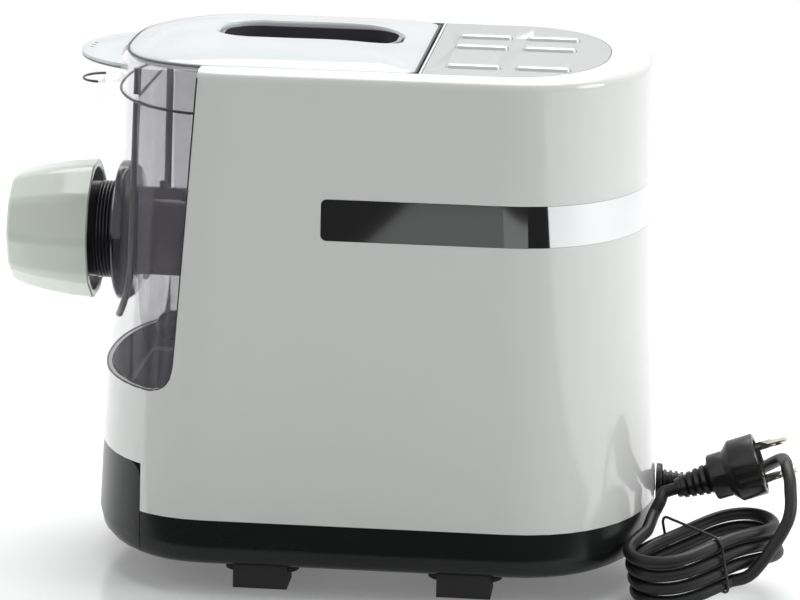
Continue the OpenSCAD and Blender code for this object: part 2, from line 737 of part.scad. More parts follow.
// ---------- lid ----------

function lid_plan(inset) = let (half = lid_w / 2 - inset, front = front_y + (rim_z - seam_z) * tan(end_lean) + 5 + inset,
        rear = lid_rear_y - inset, corner = 8) concat(
    [for (a = [0:15:90]) [half - corner + corner * cos(a), rear - corner + corner * sin(a)]],
    [for (a = [90:15:180]) [corner - half + corner * cos(a), rear - corner + corner * sin(a)]],
    [for (i = [0:bow_steps]) let (a = 180 * i / bow_steps)
        [-half * bow(cos(a), 2.8), front + front_bow - front_bow * bow(sin(a), 2.8)]]);
lid_mid_y = front_y + lid_reach / 2 + 8;
function lid_ring(s, inset, drop) = [for (p = lid_plan(inset))
    [p[0] * s, lid_mid_y + (p[1] - lid_mid_y) * s, rim_z - drop + lid_crown * (1 - pow(s, 4))]];
module crowned(inset, drop) {
    loft(concat([at(lid_plan(inset + 0.7), rim_z - drop - (drop > 0 ? 6 : lid_t + 0.8)), at(lid_plan(inset), rim_z - drop - 0.7)],
        [for (s = [0.99, 0.93, 0.84, 0.72, 0.55, 0.3]) lid_ring(s, inset, drop)]));
}
slot_rear = 14.2;                      // from the slot's rear end to the lid's rear edge
slot_y = lid_rear_y - slot_rear - slot_len / 2;
module slot_plan(grow) {
    r = 22 + grow;
    w = slot_w / 2 + grow;
    l = slot_len / 2 + grow;
    translate([0, slot_y]) {
        for (x = [-1, 1], y = [-1, 1]) translate([x * (w - r), y * (l - r)]) circle(r = r);
        square([2 * w, 2 * (l - r)], center = true);
        square([2 * (w - r), 2 * l], center = true);
    }
}
ear_x = [lid_w / 2 - 13, lid_w / 2 - 1];
module lid_top() {
    color("white", 0.85) difference() {
        union() {
            difference() {
                crowned(0, 0);
                crowned(lid_t, lid_t);
                translate([0, 0, rim_z - 20]) linear_extrude(50) slot_plan(0);
            }
            for (s = [-1, 1]) translate([s * (ear_x[0] + ear_x[1]) / 2, hinge_y, hinge_z]) rotate([0, 90, 0])
                cylinder(h = ear_x[1] - ear_x[0], r = 3, center = true);
        }
        translate([-far / 2, hinge_y, hinge_z]) rotate([0, 90, 0]) cylinder(h = far, r = hinge_r + tiny);
    }
}
module hinge_pins() {
    color("silver") for (s = [-1, 1]) translate([s * (lid_w / 2 - 4.5), hinge_y, hinge_z]) rotate([0, 90, 0])
        cylinder(h = 17, r = hinge_r, center = true);
}
module lid_skirt() {
    low = lid_seam_z + seam / 2;
    plate_top = bowl_top_z;
    color("thistle", 0.5) union() {
        intersection() {
            difference() {
                rimmed_form(low);
                loft([at(body_plan(low - 5, clear_wall), low - 5),
                    at(body_plan(rim_z - clear_wall, clear_wall), rim_z - clear_wall)]);
                translate([0, 0, rim_z - 12]) linear_extrude(30) polygon(lid_plan(-seam));
            }
            mouth_cut(seam);
        }
        intersection() {
            body_form(low, plate_top, 1);
            slab(-far, far, cover_plate_y, cover_plate_y + clear_wall, low, plate_top);
        }
    }
}
brim_mid_y = front_y + 69 - brim_out;
module lid_brim() {
    z = rim_z - 8.5;
    color("white", 0.7) difference() {
        translate([0, brim_mid_y, z]) cylinder(h = 3, r = brim_r, $fn = 96);
        body_form(z - 5, z + 8, -0.1);
        slab(-far, far, brim_mid_y - 25, far, z - 5, z + 8);
        for (x = [-7, 0, 7]) translate([x, front_y - brim_out + 6, z - 1]) cylinder(h = 6, r = 1.2);
    }
}
module slot_liner() {
    color("dimgray") difference() {
        translate([0, 0, rim_z + lid_crown - lid_t - slot_depth]) linear_extrude(slot_depth) difference() {
            slot_plan(-seat);
            slot_plan(-seat - 2);
        }
    }
}
module lid_seal() {
    z = bowl_top_z + seat;
    color("black") translate([0, 0, z]) linear_extrude(rim_z - lid_t - 0.9 - z) difference() {
        polygon(lid_plan(11));
        polygon(lid_plan(14));
    }
}
module lid_switch() {
    color("black") {
        slab(8, 28, panel_front_y + 6.3, panel_front_y + 12, control_z + 1.6, roof_z - 4);
        slab(14, 18, panel_front_y + 7, panel_front_y + 11, roof_z - 4, roof_z - 1);
    }
}

// ---------- drawer ----------

tray_z = under_z + wall + 4;
tray_top_z = drawer_top_z - 8;
rib_y = split_y - 6;
module drawer_front() {
    color("dimgray") intersection() {
        union() {
            difference() {
                keeled_form(drawer_top_z, 0.6);
                loft([at(body_plan(under_z + wall, keel_round + 6), under_z + wall),
                    at(body_plan(under_z + keel_round, wall + 1), under_z + keel_round),
                    at(body_plan(drawer_top_z - wall, wall + 1), drawer_top_z - wall)]);
            }
            intersection() {
                keeled_form(drawer_top_z, 1.5);
                slab(-far, far, rib_y, rib_y + wall, under_z, drawer_top_z);
            }
        }
        slab(-far, far, -far, split_y - seam, 0, drawer_top_z);
        drawer_side();
    }
}
module drawer_side() {
    r = 8;
    rotate([90, 0, 90]) translate([0, 0, -far / 2]) linear_extrude(far) union() {
        translate([-far, 0]) square([far + split_y - seam, drawer_top_z - r]);
        translate([-far, 0]) square([far + split_y - seam - r, drawer_top_z]);
        translate([split_y - seam - r, drawer_top_z - r]) circle(r = r);
    }
}
module drawer_tray() {
    color("gainsboro") difference() {
        slab(-tray_w / 2, tray_w / 2, rib_y + wall, rib_y + wall + tray_len, tray_z, tray_top_z);
        slab(2 - tray_w / 2, tray_w / 2 - 2, rib_y + wall + 2, rib_y + wall + tray_len - 2, tray_z + 2, tray_top_z + 5);
    }
}
module drawer_runners() {
    run = tray_len - 16;
    color("gray") for (s = [-1, 1]) translate([s * (tray_w / 2 - 3), split_y + 20, under_z + wall]) {
        translate([-4, 0, 0]) cube([8, run, tray_z - seat - under_z - wall]);
        translate([s > 0 ? 3 + seat : -5 - seat, 0, 0]) cube([2, run, 10]);
    }
}

// ---------- electronics ----------

board_z = under_z + wall + 6;
board_y = 30;
board_posts = [for (x = [-78, -24], y = [board_y, board_y + 68]) [x, y]];
module power_board() {
    color("seagreen") slab(-84, -18, board_y - 6, board_y + 74, board_z, board_z + 1.6);
}
module board_parts() {
    top = board_z + 1.6;
    color("navy") {
        slab(-80, -56, board_y + 4, board_y + 26, top, top + 18);
        slab(-80, -62, board_y + 34, board_y + 58, top, top + 14);
        translate([-42, board_y + 14, top]) cylinder(h = 16, r = 8);
        translate([-38, board_y + 40, top]) cylinder(h = 14, r = 6);
        slab(-48, -28, board_y + 50, board_y + 66, top, top + 9);
    }
}

// ---------- mains lead ----------

gland_z = 47;
gland_y = rear_y - (gland_z - gland_r - seam_z) * tan(end_lean) + tiny;
gland_end_y = gland_y + 3.5 + gland_len;
module cord_gland() {
    color("black") {
        bar_y(0, gland_z, gland_y, gland_y + 3.5, gland_r);
        bar_y(0, gland_z, gland_y + 3, gland_end_y, lead_d / 2 + 1.6);
        for (i = [0:3]) bar_y(0, gland_z, gland_y + 5.5 + i * 3, gland_y + 7.3 + i * 3, lead_d / 2 + 2.8);
    }
}

// A tube of the given number of sides along a list of points
function unit(v) = v / norm(v);
function tangent(path, i) = unit(path[min(i + 1, len(path) - 1)] - path[max(i - 1, 0)]);
function tube_ring(path, i, r, sides, up) = let (t = tangent(path, i), a = unit(cross(t, up)), b = cross(a, t))
    [for (k = [0:sides - 1]) path[i] + r * (cos(360 * k / sides) * a + sin(360 * k / sides) * b)];
module tube(path, r, sides, up = [0, 0, 1]) {
    loft([for (i = [0:len(path) - 1]) tube_ring(path, i, r, sides, up)]);
}
// A smooth curve through hand-chosen points
function spline_at(p, i, t) = let (a = p[max(i - 1, 0)], b = p[i], c = p[i + 1], d = p[min(i + 2, len(p) - 1)])
    0.5 * (2 * b + (c - a) * t + (2 * a - 5 * b + 4 * c - d) * t * t + (3 * b - a - 3 * c + d) * t * t * t);
function spline(p, n) = concat([for (i = [0:len(p) - 2], k = [0:n - 1]) spline_at(p, i, k / n)], [p[len(p) - 1]]);

// A route that leaves and ends straight, with a smooth curve through its other points
function route(p, n) = concat([p[0]],
    [for (i = [1:len(p) - 3], k = [0:n - 1]) spline_at(p, i, k / n)], [p[len(p) - 2], p[len(p) - 1]]);

// The hank: loops of one shape, drawn in at the waist and piled, each climbing along the same run
hank_mid = [62, 216, 14];
hank_yaw = 38;
hank_tilt = 13;
hank_start = 110;                      // angles round the loop, in degrees
hank_end = hank_start + 360 * (hank_loops - 1) + 115;
climb_from = 20;
climb_run = 70;
hank_step = lead_d + hank_gap;
hank_u = [-sin(hank_yaw) * cos(hank_tilt), cos(hank_yaw) * cos(hank_tilt), sin(hank_tilt)];
hank_v = [cos(hank_yaw), sin(hank_yaw), 0];
hank_w = cross(hank_v, hank_u);
function eased(t) = t * t * (3 - 2 * t);
function hank_layer(t) = let (s = t - climb_from, k = floor(s / 360))
    max(0, k - 1 + eased(min(1, (s - 360 * k) / climb_run)));
function hank_at(t) = hank_mid + hank_len / 2 * cos(t) * hank_u + hank_step * hank_layer(t) * hank_w
    + hank_wid / 2 * sin(t) * (1 - hank_waist * pow(abs(sin(t)), 3)) * hank_v;
function hank_curve(step) = [for (t = [hank_start:step:hank_end + 0.01]) hank_at(t)];
hank_in = unit(hank_at(hank_start + 2) - hank_at(hank_start));
hank_out = unit(hank_at(hank_end) - hank_at(hank_end - 2));
hank_first = hank_at(hank_start) - lead_d * hank_in;
hank_last = hank_at(hank_end) + lead_d * hank_out;
hank_path = concat([hank_first], hank_curve(15), [hank_last]);

// The least gap of the hank to itself, on points 5 degrees apart
fine = hank_curve(5);
function nearest(i) = min([for (j = [i + 12:len(fine) - 1]) norm(fine[i] - fine[j])]);
echo("least gap of the hank to itself", min([for (i = [0:len(fine) - 13]) nearest(i)]) - lead_d);

// The plug: where its face is, and how it lies
plug_face = [34, 243, 69];
plug_rise = 20;
plug_yaw = 0;
plug_dir = [0, cos(plug_rise), sin(plug_rise)];
plug_rear = plug_face - plug_len * plug_dir;
lead_route = [[0, gland_end_y, gland_z], [0, gland_end_y + lead_d, gland_z], [0.5, 220, 49.5], [7, 242, 58], [24, 254, 69],
    [36, 257, 71], [47, 258, 70], [58, 260, 63], [71, 259, 46], [80, 242, 20],
    hank_first - lead_d * hank_in, hank_first];
tail_route = [hank_last, hank_last + lead_d * hank_out, [42, 185, 39], [39, 188, 45],
    plug_rear - lead_d * plug_dir, plug_rear];
module cord_lead() {
    color("black") tube(route(lead_route, 4), lead_d / 2, 8);
}
module cord_hank() {
    color("black") tube(hank_path, lead_d / 2, 6);
}
module cord_tail() {
    color("black") tube(route(tail_route, 4), lead_d / 2, 8);
}
module cord_tie() {
    long = hank_wid * (1 - hank_waist) + lead_d + 1;
    high = hank_step * (hank_loops - 1) + lead_d + 1;
    color("dimgray") multmatrix([for (i = [0:2]) [hank_v[i], hank_w[i], -hank_u[i], hank_mid[i] + tie_place * hank_u[i]
        + (high - lead_d - 1) / 2 * hank_w[i]]]) linear_extrude(tie_t) difference() {
            tie_form(long + 2 * tie_t, high + 2 * tie_t);
            tie_form(long, high);
        }
}
module tie_form(w, h) {
    r = lead_d / 2 + 1;
    for (x = [-1, 1], y = [-1, 1]) translate([x * (w / 2 - r), y * (h / 2 - r)]) circle(r = r, $fn = 24);
    square([w, h - 2 * r], center = true);
    square([w - 2 * r, h], center = true);
}
module on_plug() {
    translate(plug_face) rotate([plug_rise - 90, 0, 0]) children();
}
pin_gap = 19;
strip_w = 8;
module plug_body() {
    neck_r = lead_d / 2 + 2.4;
    color("black") on_plug() difference() {
        union() {
            rotate_extrude($fn = 64) polygon([[0, -plug_len], [neck_r - 1, -plug_len], [neck_r + 0.6, 6 - plug_len],
                [neck_r + 3, 20 - plug_len], [13, 21 - plug_len], [13, -19], [plug_r, -15], [plug_r, 0], [0, 0]]);
            for (i = [0:3]) translate([0, 0, 4 + i * 4 - plug_len]) cylinder(h = 2, r = neck_r + 1.4 + i * 0.6);
        }
        for (s = [-1, 1]) translate([s * plug_r, 0, -6]) cube([5, strip_w, 14], center = true);
    }
}
module plug_pins() {
    color("silver") on_plug() {
        for (s = [-1, 1]) translate([0, s * pin_gap / 2, 0]) {
            cylinder(h = pin_len - 1, r = pin_d / 2);
            translate([0, 0, pin_len - 1]) cylinder(h = 1, r1 = pin_d / 2, r2 = pin_d / 2 - 1);
        }
        for (s = [-1, 1]) translate([s * (plug_r - 1.9), 0, -6]) cube([1.2, strip_w, 14], center = true);
    }
}

main_shell();
base_tray();
top_frame();
trim_band();
panel_plate();
control_board();
key_switches();
mixing_bowl();
shaft_seal();
gearbox_cover();
gearbox_housing();
output_bearings();
idler_pin();
gearbox_screws();
motor();
power_board();
board_parts();
lid_switch();
drawer_runners();
foot_at(1, 0);  // foot_front_right
foot_at(-1, 0);  // foot_front_left
foot_at(1, 1);  // foot_rear_right
foot_at(-1, 1);  // foot_rear_left
base_screws();
front_cover();
collar_flange();
extruder_barrel();
shaping_disc();
extruder_nut();
latch_tab();
lid_top();
lid_skirt();
lid_brim();
slot_liner();
lid_seal();
hinge_pins();
drive_shaft();
output_gear();
mixing_paddle();
auger_screw();
idler_gear();
rotor_shaft();
motor_pinion();
cooling_fan();
drawer_front();
drawer_tray();
button(0);  // button_1
button(1);  // button_2
button(2);  // button_3
button(3);  // button_4
button(4);  // button_5
button(5);  // button_6
cord_gland();
cord_lead();
cord_hank();
cord_tail();
cord_tie();
plug_body();
plug_pins();
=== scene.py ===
import json
import math

import bmesh
import bpy
import numpy as np
from mathutils import Matrix, Vector


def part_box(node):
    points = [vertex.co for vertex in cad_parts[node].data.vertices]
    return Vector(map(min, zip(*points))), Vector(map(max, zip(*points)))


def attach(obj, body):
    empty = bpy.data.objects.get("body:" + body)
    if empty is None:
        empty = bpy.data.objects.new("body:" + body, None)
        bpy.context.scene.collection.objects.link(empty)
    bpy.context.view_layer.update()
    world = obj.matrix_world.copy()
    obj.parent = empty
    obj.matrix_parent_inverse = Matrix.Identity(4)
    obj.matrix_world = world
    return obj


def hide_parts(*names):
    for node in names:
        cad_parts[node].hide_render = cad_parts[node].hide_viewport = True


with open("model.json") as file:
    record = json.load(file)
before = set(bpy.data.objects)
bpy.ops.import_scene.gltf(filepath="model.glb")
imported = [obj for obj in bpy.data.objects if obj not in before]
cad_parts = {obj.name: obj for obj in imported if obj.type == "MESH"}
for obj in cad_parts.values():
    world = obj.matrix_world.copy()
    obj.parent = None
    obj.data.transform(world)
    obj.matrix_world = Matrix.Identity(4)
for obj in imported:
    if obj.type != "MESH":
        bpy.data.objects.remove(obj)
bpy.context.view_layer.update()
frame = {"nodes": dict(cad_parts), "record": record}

bl_info = {
    "name": "Electric pasta maker",
    "version": (1, 0, 0),
    "blender": (4, 5, 0),
    "location": "View3D > Sidebar > Pasta maker",
    "description": "Dresses the packed pasta maker: casing, clear covers, lid, panel, nut, lead and stage",
    "category": "Add Mesh",
}

NODES = frame["nodes"]
SLOT_OF = {s["node"]: s["material_slot"] for s in frame["record"]["subparts"]}
MM = 0.001

# The body's form, as in the part's source, in millimetres
HALF_W, FRONT_Y, REAR_Y = 106.75, -131.592, 184.408
FRONT_BOW, REAR_BOW, BOW_POWER = 72.0, 80.0, 2.2
SEAM_Z, UNDER_Z, RIM_Z, RIM_ROUND, KEEL_ROUND = 42.0, 14.0, 291.0, 5.0, 14.0
SIDE_TAN, END_TAN = math.tan(math.radians(0.63)), math.tan(math.radians(2.4))
LID_W, LID_REAR_Y, LID_CROWN, LID_T, LID_MID_Y = 170.0, 48.408, 7.5, 3.0, -33.592
SLOT_Y, SLOT_LEN, SLOT_W, SLOT_CORNER = -16.792, 102.0, 56.0, 22.0
AXIS_Z = 180.0


# ---------- shader expressions ----------

class Sock:
    """A node's output, with arithmetic that adds the nodes it needs."""

    def __init__(self, tree, out):
        self.tree, self.out = tree, out

    def _math(self, op, a, b):
        return self.tree.node("ShaderNodeMath", {"operation": op}, {0: a, 1: b})

    def __add__(self, o): return self._math("ADD", self, o)
    def __radd__(self, o): return self._math("ADD", o, self)
    def __sub__(self, o): return self._math("SUBTRACT", self, o)
    def __rsub__(self, o): return self._math("SUBTRACT", o, self)
    def __mul__(self, o): return self._math("MULTIPLY", self, o)
    def __rmul__(self, o): return self._math("MULTIPLY", o, self)
    def __truediv__(self, o): return self._math("DIVIDE", self, o)
    def __pow__(self, o): return self._math("POWER", self, o)
    def above(self, o): return self._math("GREATER_THAN", self, o)
    def absolute(self): return self._math("ABSOLUTE", self, 0.0)


class Tree:
    """A material's node tree, written with one method for any node."""

    def __init__(self, name):
        self.material = bpy.data.materials.new(name)
        self.material.use_nodes = True
        self.nt = self.material.node_tree
        self.nt.nodes.clear()
        self.output = self.nt.nodes.new("ShaderNodeOutputMaterial")

    def node(self, kind, settings=None, inputs=None, out=0):
        made = self.nt.nodes.new(kind)
        for key, value in (settings or {}).items():
            if key == "stops":
                ramp = made.color_ramp
                while len(ramp.elements) < len(value):
                    ramp.elements.new(0.5)
                for element, (place, colour) in zip(ramp.elements, value):
                    element.position, element.color = place, colour
            else:
                setattr(made, key, value)
        for key, value in (inputs or {}).items():
            self.put(made.inputs[key], value)
        return Sock(self, made.outputs[out])

    def put(self, socket, value):
        if isinstance(value, Sock):
            self.nt.links.new(value.out, socket)
        else:
            socket.default_value = value

    def place(self):
        return self.node("ShaderNodeTexCoord", out="Object")

    def axis(self, which):
        return self.node("ShaderNodeSeparateXYZ", inputs={0: self.place()}, out=which)

    def noise(self, scale, detail=3.0, rough=0.5, stretch=None, where=None):
        where = where or self.place()
        if stretch:
            where = self.node("ShaderNodeMapping", inputs={"Vector": where, "Scale": stretch})
        return self.node("ShaderNodeTexNoise", inputs={"Vector": where, "Scale": scale, "Detail": detail,
                                                       "Roughness": rough})

    def mix(self, factor, a, b):
        return self.node("ShaderNodeMix", {"data_type": "RGBA"}, {0: factor, 6: a, 7: b}, out=2)

    def bump(self, height, strength, distance):
        return self.node("ShaderNodeBump", inputs={"Strength": strength, "Distance": distance,
                                                   "Height": height})

    def surface(self, **inputs):
        names = {"colour": "Base Color", "rough": "Roughness", "metal": "Metallic", "coat": "Coat Weight",
                 "coat_rough": "Coat Roughness", "alpha": "Alpha", "normal": "Normal", "ior": "IOR",
                 "specular": "Specular IOR Level", "glow": "Emission Color", "glow_power": "Emission Strength"}
        shader = self.node("ShaderNodeBsdfPrincipled", inputs={names[k]: v for k, v in inputs.items()})
        self.nt.links.new(shader.out, self.output.inputs["Surface"])
        return self.material


def rgb(r, g, b):
    return (r, g, b, 1.0)


def tinted(t, colour, spread, scale, stretch=None):
    """The colour with a little lighter and darker variation over the surface."""
    dark = tuple(c * (1 - spread) for c in colour[:3]) + (1.0,)
    light = tuple(min(1.0, c * (1 + spread)) for c in colour[:3]) + (1.0,)
    return t.mix(t.noise(scale, 2.0, 0.5, stretch), dark, light)


def moulded(name, colour, rough, grain=0.03, grain_scale=2500.0, coat=0.0, spread=0.03, specular=0.5):
    t = Tree(name)
    wear = t.noise(14.0, 3.0)
    return t.surface(colour=tinted(t, colour, spread, 9.0), rough=rough - 0.04 + wear * 0.08, coat=coat,
                     coat_rough=0.04, specular=specular,
                     normal=t.bump(t.noise(grain_scale, 2.0), grain, 0.0001))


def casing_gloss(name, colour):
    t = Tree(name)
    swell = t.noise(5.0, 2.0, 0.4)
    return t.surface(colour=tinted(t, colour, 0.012, 3.0), rough=0.09 + swell * 0.05, coat=0.35,
                     coat_rough=0.03, normal=t.bump(swell, 0.05, 0.002))


def clear_plastic(name, colour, alpha, rough=0.05, inner=0.0):
    """A clear moulding, denser by inner where it is the bowl behind the cover."""
    t = Tree(name)
    haze = t.noise(7.0, 3.0)
    body = alpha * (0.8 + haze * 0.4)
    if inner:
        x, y = t.axis(0), t.axis(1)
        body = body + y.above(-0.1045) * (0.072 - x.absolute()).above(0.0) * inner
    return t.surface(colour=colour, rough=rough + haze * 0.05, alpha=body, coat=0.6, coat_rough=0.02, ior=1.49)


def brushed(name, colour, rough, along=(1.0, 40.0, 1.0), depth=0.12):
    t = Tree(name)
    line = t.noise(60.0, 4.0, 0.6, along)
    return t.surface(colour=tinted(t, colour, 0.05, 30.0, along), metal=1.0, rough=rough - 0.06 + line * 0.12,
                     normal=t.bump(line, depth, 0.0002))


def polished(name, colour, rough):
    t = Tree(name)
    smear = t.noise(25.0, 3.0, 0.5)
    return t.surface(colour=tinted(t, colour, 0.02, 12.0), metal=1.0, rough=rough + smear * 0.03,
                     normal=t.bump(t.noise(9.0, 1.0), 0.04, 0.001))


def sheath(name, colour, rough):
    t = Tree(name)
    return t.surface(colour=tinted(t, colour, 0.15, 120.0), rough=rough - 0.05 + t.noise(180.0) * 0.1,
                     specular=0.35, normal=t.bump(t.noise(900.0, 2.0), 0.1, 0.0001))


def finishes():
    """One finish for each slot of the record, and the few that only pieces here use."""
    look = bpy.context.scene.pasta_finish
    white, smoke = (*look.casing_colour, 1.0), (*look.clear_colour, 1.0)
    return {
        "casing_white": casing_gloss("casing_white", white),
        "base_black": moulded("base_black", rgb(0.011, 0.012, 0.012), 0.26, 0.04, specular=0.28),
        "frame_grey": moulded("frame_grey", rgb(0.55, 0.56, 0.57), 0.4),
        "band_steel": polished("band_steel", rgb(0.74, 0.75, 0.76), 0.03),
        "panel_silver": brushed("panel_silver", rgb(0.39, 0.40, 0.40), 0.38),
        "button_silver": brushed("button_silver", rgb(0.47, 0.48, 0.48), 0.34, depth=0.06),
        "board_green": moulded("board_green", rgb(0.03, 0.16, 0.07), 0.35),
        "switch_black": moulded("switch_black", rgb(0.03, 0.03, 0.03), 0.45),
        "part_black": moulded("part_black", rgb(0.05, 0.05, 0.07), 0.4),
        "clear_plastic": clear_plastic("clear_plastic", smoke, look.clear_alpha, inner=look.bowl_alpha),
        "lid_clear": clear_plastic("lid_clear", rgb(0.80, 0.84, 0.85), 0.82),
        "seal_rubber": moulded("seal_rubber", rgb(0.02, 0.02, 0.022), 0.6),
        "gearbox_plastic": moulded("gearbox_plastic", rgb(0.10, 0.11, 0.12), 0.5, 0.1),
        "bronze": polished("bronze", rgb(0.55, 0.38, 0.16), 0.25),
        "steel": brushed("steel", rgb(0.60, 0.61, 0.62), 0.25, (20.0, 1.0, 20.0)),
        "motor_steel": brushed("motor_steel", rgb(0.35, 0.36, 0.38), 0.35, (20.0, 1.0, 20.0)),
        "flange_black": moulded("flange_black", rgb(0.012, 0.012, 0.013), 0.16, 0.01, coat=0.5),
        "barrel_dark": moulded("barrel_dark", rgb(0.03, 0.03, 0.035), 0.3, 0.02, coat=0.3),
        "nut_white": moulded("nut_white", rgb(0.72, 0.78, 0.70), 0.24, 0.01, coat=0.4, spread=0.02),
        "liner_grey": moulded("liner_grey", rgb(0.09, 0.085, 0.10), 0.2, 0.01, coat=0.4),
        "gear_plastic": moulded("gear_plastic", rgb(0.70, 0.69, 0.60), 0.4),
        "paddle_dark": moulded("paddle_dark", rgb(0.035, 0.035, 0.04), 0.35, 0.03),
        "fan_white": moulded("fan_white", rgb(0.72, 0.72, 0.70), 0.4),
        "tray_clear": moulded("tray_clear", rgb(0.60, 0.62, 0.63), 0.25, 0.01, coat=0.2),
        "lead_black": sheath("lead_black", rgb(0.010, 0.010, 0.011), 0.42),
        "tie_black": moulded("tie_black", rgb(0.012, 0.012, 0.012), 0.35),
        "plug_black": moulded("plug_black", rgb(0.010, 0.010, 0.011), 0.28, 0.04),
        "pin_nickel": polished("pin_nickel", rgb(0.70, 0.67, 0.60), 0.12),
        "foot_rubber": moulded("foot_rubber", rgb(0.015, 0.015, 0.015), 0.65, 0.1),
        # Painted shade: the dark colour of the lines along the clear inner plate's edges, where the clear
        # plastic bends light away
        "plate_edge": moulded("plate_edge", rgb(0.055, 0.048, 0.052), 0.3, 0.01),
        # Dark seams, and also the painted shade lines along the rounded clear edges of the brim and the latch
        # tab
        "seam_dark_and_edge_shade": moulded("seam_dark_and_edge_shade", rgb(0.012, 0.012, 0.014), 0.35, 0.01),
    }


# ---------- the body's form ----------

def outline_size(z, inset):
    side_in, end_in = (z - SEAM_Z) * SIDE_TAN + inset, (z - SEAM_Z) * END_TAN + inset
    return HALF_W - side_in, FRONT_Y + end_in, REAR_Y - end_in, FRONT_BOW - inset, REAR_BOW - inset


def outline_value(x, y, z, inset=0.0):
    """1 on the body's outline at height z, less inside."""
    half, front, rear, fl, rl = outline_size(z, inset)
    t = max(0.0, (y - rear + rl) / rl, (front + fl - y) / fl)
    return ((abs(x) / half) ** BOW_POWER + t ** BOW_POWER) ** (1 / BOW_POWER)


def body_normal(x, y, z):
    """The outward direction of the body's surface near a point, in millimetres."""
    e = 0.05
    zz = min(max(z, UNDER_Z + KEEL_ROUND), RIM_Z - RIM_ROUND)
    gx = outline_value(x + e, y, zz) - outline_value(x - e, y, zz)
    gy = outline_value(x, y + e, zz) - outline_value(x, y - e, zz)
    gz = outline_value(x, y, zz + e) - outline_value(x, y, zz - e)
    n = Vector((gx, gy, gz)).normalized()
    for low, reach, up in ((RIM_Z - RIM_ROUND, RIM_ROUND, 1), (UNDER_Z + KEEL_ROUND, KEEL_ROUND, -1)):
        over = (z - low) * up / reach
        if over > 0:
            s = min(1.0, over)
            n = (n * math.sqrt(1 - s * s) + Vector((0, 0, up)) * s).normalized()
    return n


def side_x(y, z, inset=0.0):
    """Half the body's width at y and z."""
    half, front, rear, fl, rl = outline_size(z, inset)
    t = max(0.0, (y - rear + rl) / rl, (front + fl - y) / fl)
    return half * max(0.0, 1 - t ** BOW_POWER) ** (1 / BOW_POWER)


# ---------- making pieces ----------

def new_piece(name, verts, faces, slot, body, replaces=(), smooth=32.0, scale=MM):
    mesh = bpy.data.meshes.new(name)
    mesh.from_pydata([tuple(c * scale for c in v) for v in verts], [], faces)
    return finish_piece(name, mesh, slot, body, replaces, smooth)


def finish_piece(name, mesh, slot, body, replaces=(), smooth=32.0, tidy=True):
    if tidy:
        bm = bmesh.new()
        bm.from_mesh(mesh)
        bmesh.ops.remove_doubles(bm, verts=bm.verts, dist=2e-6)
        bmesh.ops.recalc_face_normals(bm, faces=bm.faces)
        bm.to_mesh(mesh)
        bm.free()
    mesh.materials.clear()
    mesh.materials.append(FINISH[slot])
    if smooth:
        mesh.shade_smooth()
        mesh.set_sharp_from_angle(angle=math.radians(smooth))
    piece = bpy.data.objects.new(name, mesh)
    bpy.context.scene.collection.objects.link(piece)
    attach(piece, body)
    if replaces:
        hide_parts(*replaces)
    return piece


def body_name(node):
    return next(b for b, names in frame["record"]["behaviour"]["bodies"].items() if node in names)


def dressed(node, slot=None, smooth=32.0, follow_body=False, name=None, bevel=0.0):
    """A merged, smooth-shaded copy of a CAD node that stands for it."""
    mesh = NODES[node].data.copy()
    mesh.name = name or node + "_skin"
    bm = bmesh.new()
    bm.from_mesh(mesh)
    bmesh.ops.remove_doubles(bm, verts=bm.verts, dist=2e-6)
    bmesh.ops.dissolve_degenerate(bm, edges=bm.edges, dist=1e-6)
    bm.to_mesh(mesh)
    bm.free()
    piece = finish_piece(name or node + "_skin", mesh, slot or SLOT_OF[node], body_name(node), (node,), smooth,
                         False)
    if follow_body:
        smooth_over_body(mesh)
    return piece


def smooth_over_body(mesh):
    """Shades the faces that lie on the body's form by that form, so that its reflections run true."""
    normals = [None] * len(mesh.loops)
    corner = np.zeros(len(mesh.loops) * 3, np.float32)
    mesh.corner_normals.foreach_get("vector", corner)
    corner = corner.reshape(-1, 3)
    for poly in mesh.polygons:
        c = poly.center / MM
        on_form = poly.normal.dot(body_normal(c.x, c.y, c.z)) > 0.93
        for i in poly.loop_indices:
            if on_form:
                p = mesh.vertices[mesh.loops[i].vertex_index].co / MM
                normals[i] = tuple(body_normal(p.x, p.y, p.z))
            else:
                normals[i] = tuple(float(v) for v in corner[i])
    mesh.normals_split_custom_set(normals)


def ring_mesh(rings, closed_ends=True, close_rings=True):
    """Vertices and faces through rings of equally many points."""
    n, verts, faces = len(rings[0]), [p for r in rings for p in r], []
    for j in range(len(rings) - 1 if close_rings else len(rings)):
        k = (j + 1) % len(rings)
        for i in range(n):
            m = (i + 1) % n
            faces.append((j * n + i, j * n + m, k * n + m, k * n + i))
    if closed_ends and close_rings:
        faces.append(tuple(range(n - 1, -1, -1)))
        faces.append(tuple(range((len(rings) - 1) * n, len(rings) * n)))
    return verts, faces


def path_tube(points, r, sides=12, closed=False):
    """A tube along points, with a frame carried along so that it doesn't twist."""
    pts = [Vector(p) for p in points]
    n, rings, up = len(pts), [], None
    for i, p in enumerate(pts):
        a = pts[(i - 1) % n] if closed or i else p
        b = pts[(i + 1) % n] if closed or i < n - 1 else p
        t = (b - a).normalized()
        if up is None:
            up = Vector((0, 0, 1)) if abs(t.z) < 0.9 else Vector((1, 0, 0))
        up = (up - t * up.dot(t)).normalized()
        side = t.cross(up)
        rings.append([tuple(p + (up * math.cos(k) + side * math.sin(k)) * r)
                      for k in (2 * math.pi * s / sides for s in range(sides))])
    return ring_mesh(rings, not closed, not closed)


def lathe(profile, centre, axis, sides=96):
    """A turned form from (distance along the axis, radius) pairs."""
    axis = Vector(axis).normalized()
    u = axis.orthogonal().normalized()
    v = axis.cross(u)
    rings = [[tuple(Vector(centre) + axis * a + (u * math.cos(k) + v * math.sin(k)) * max(r, 0.001))
              for k in (2 * math.pi * s / sides for s in range(sides))] for a, r in profile]
    return ring_mesh(rings)


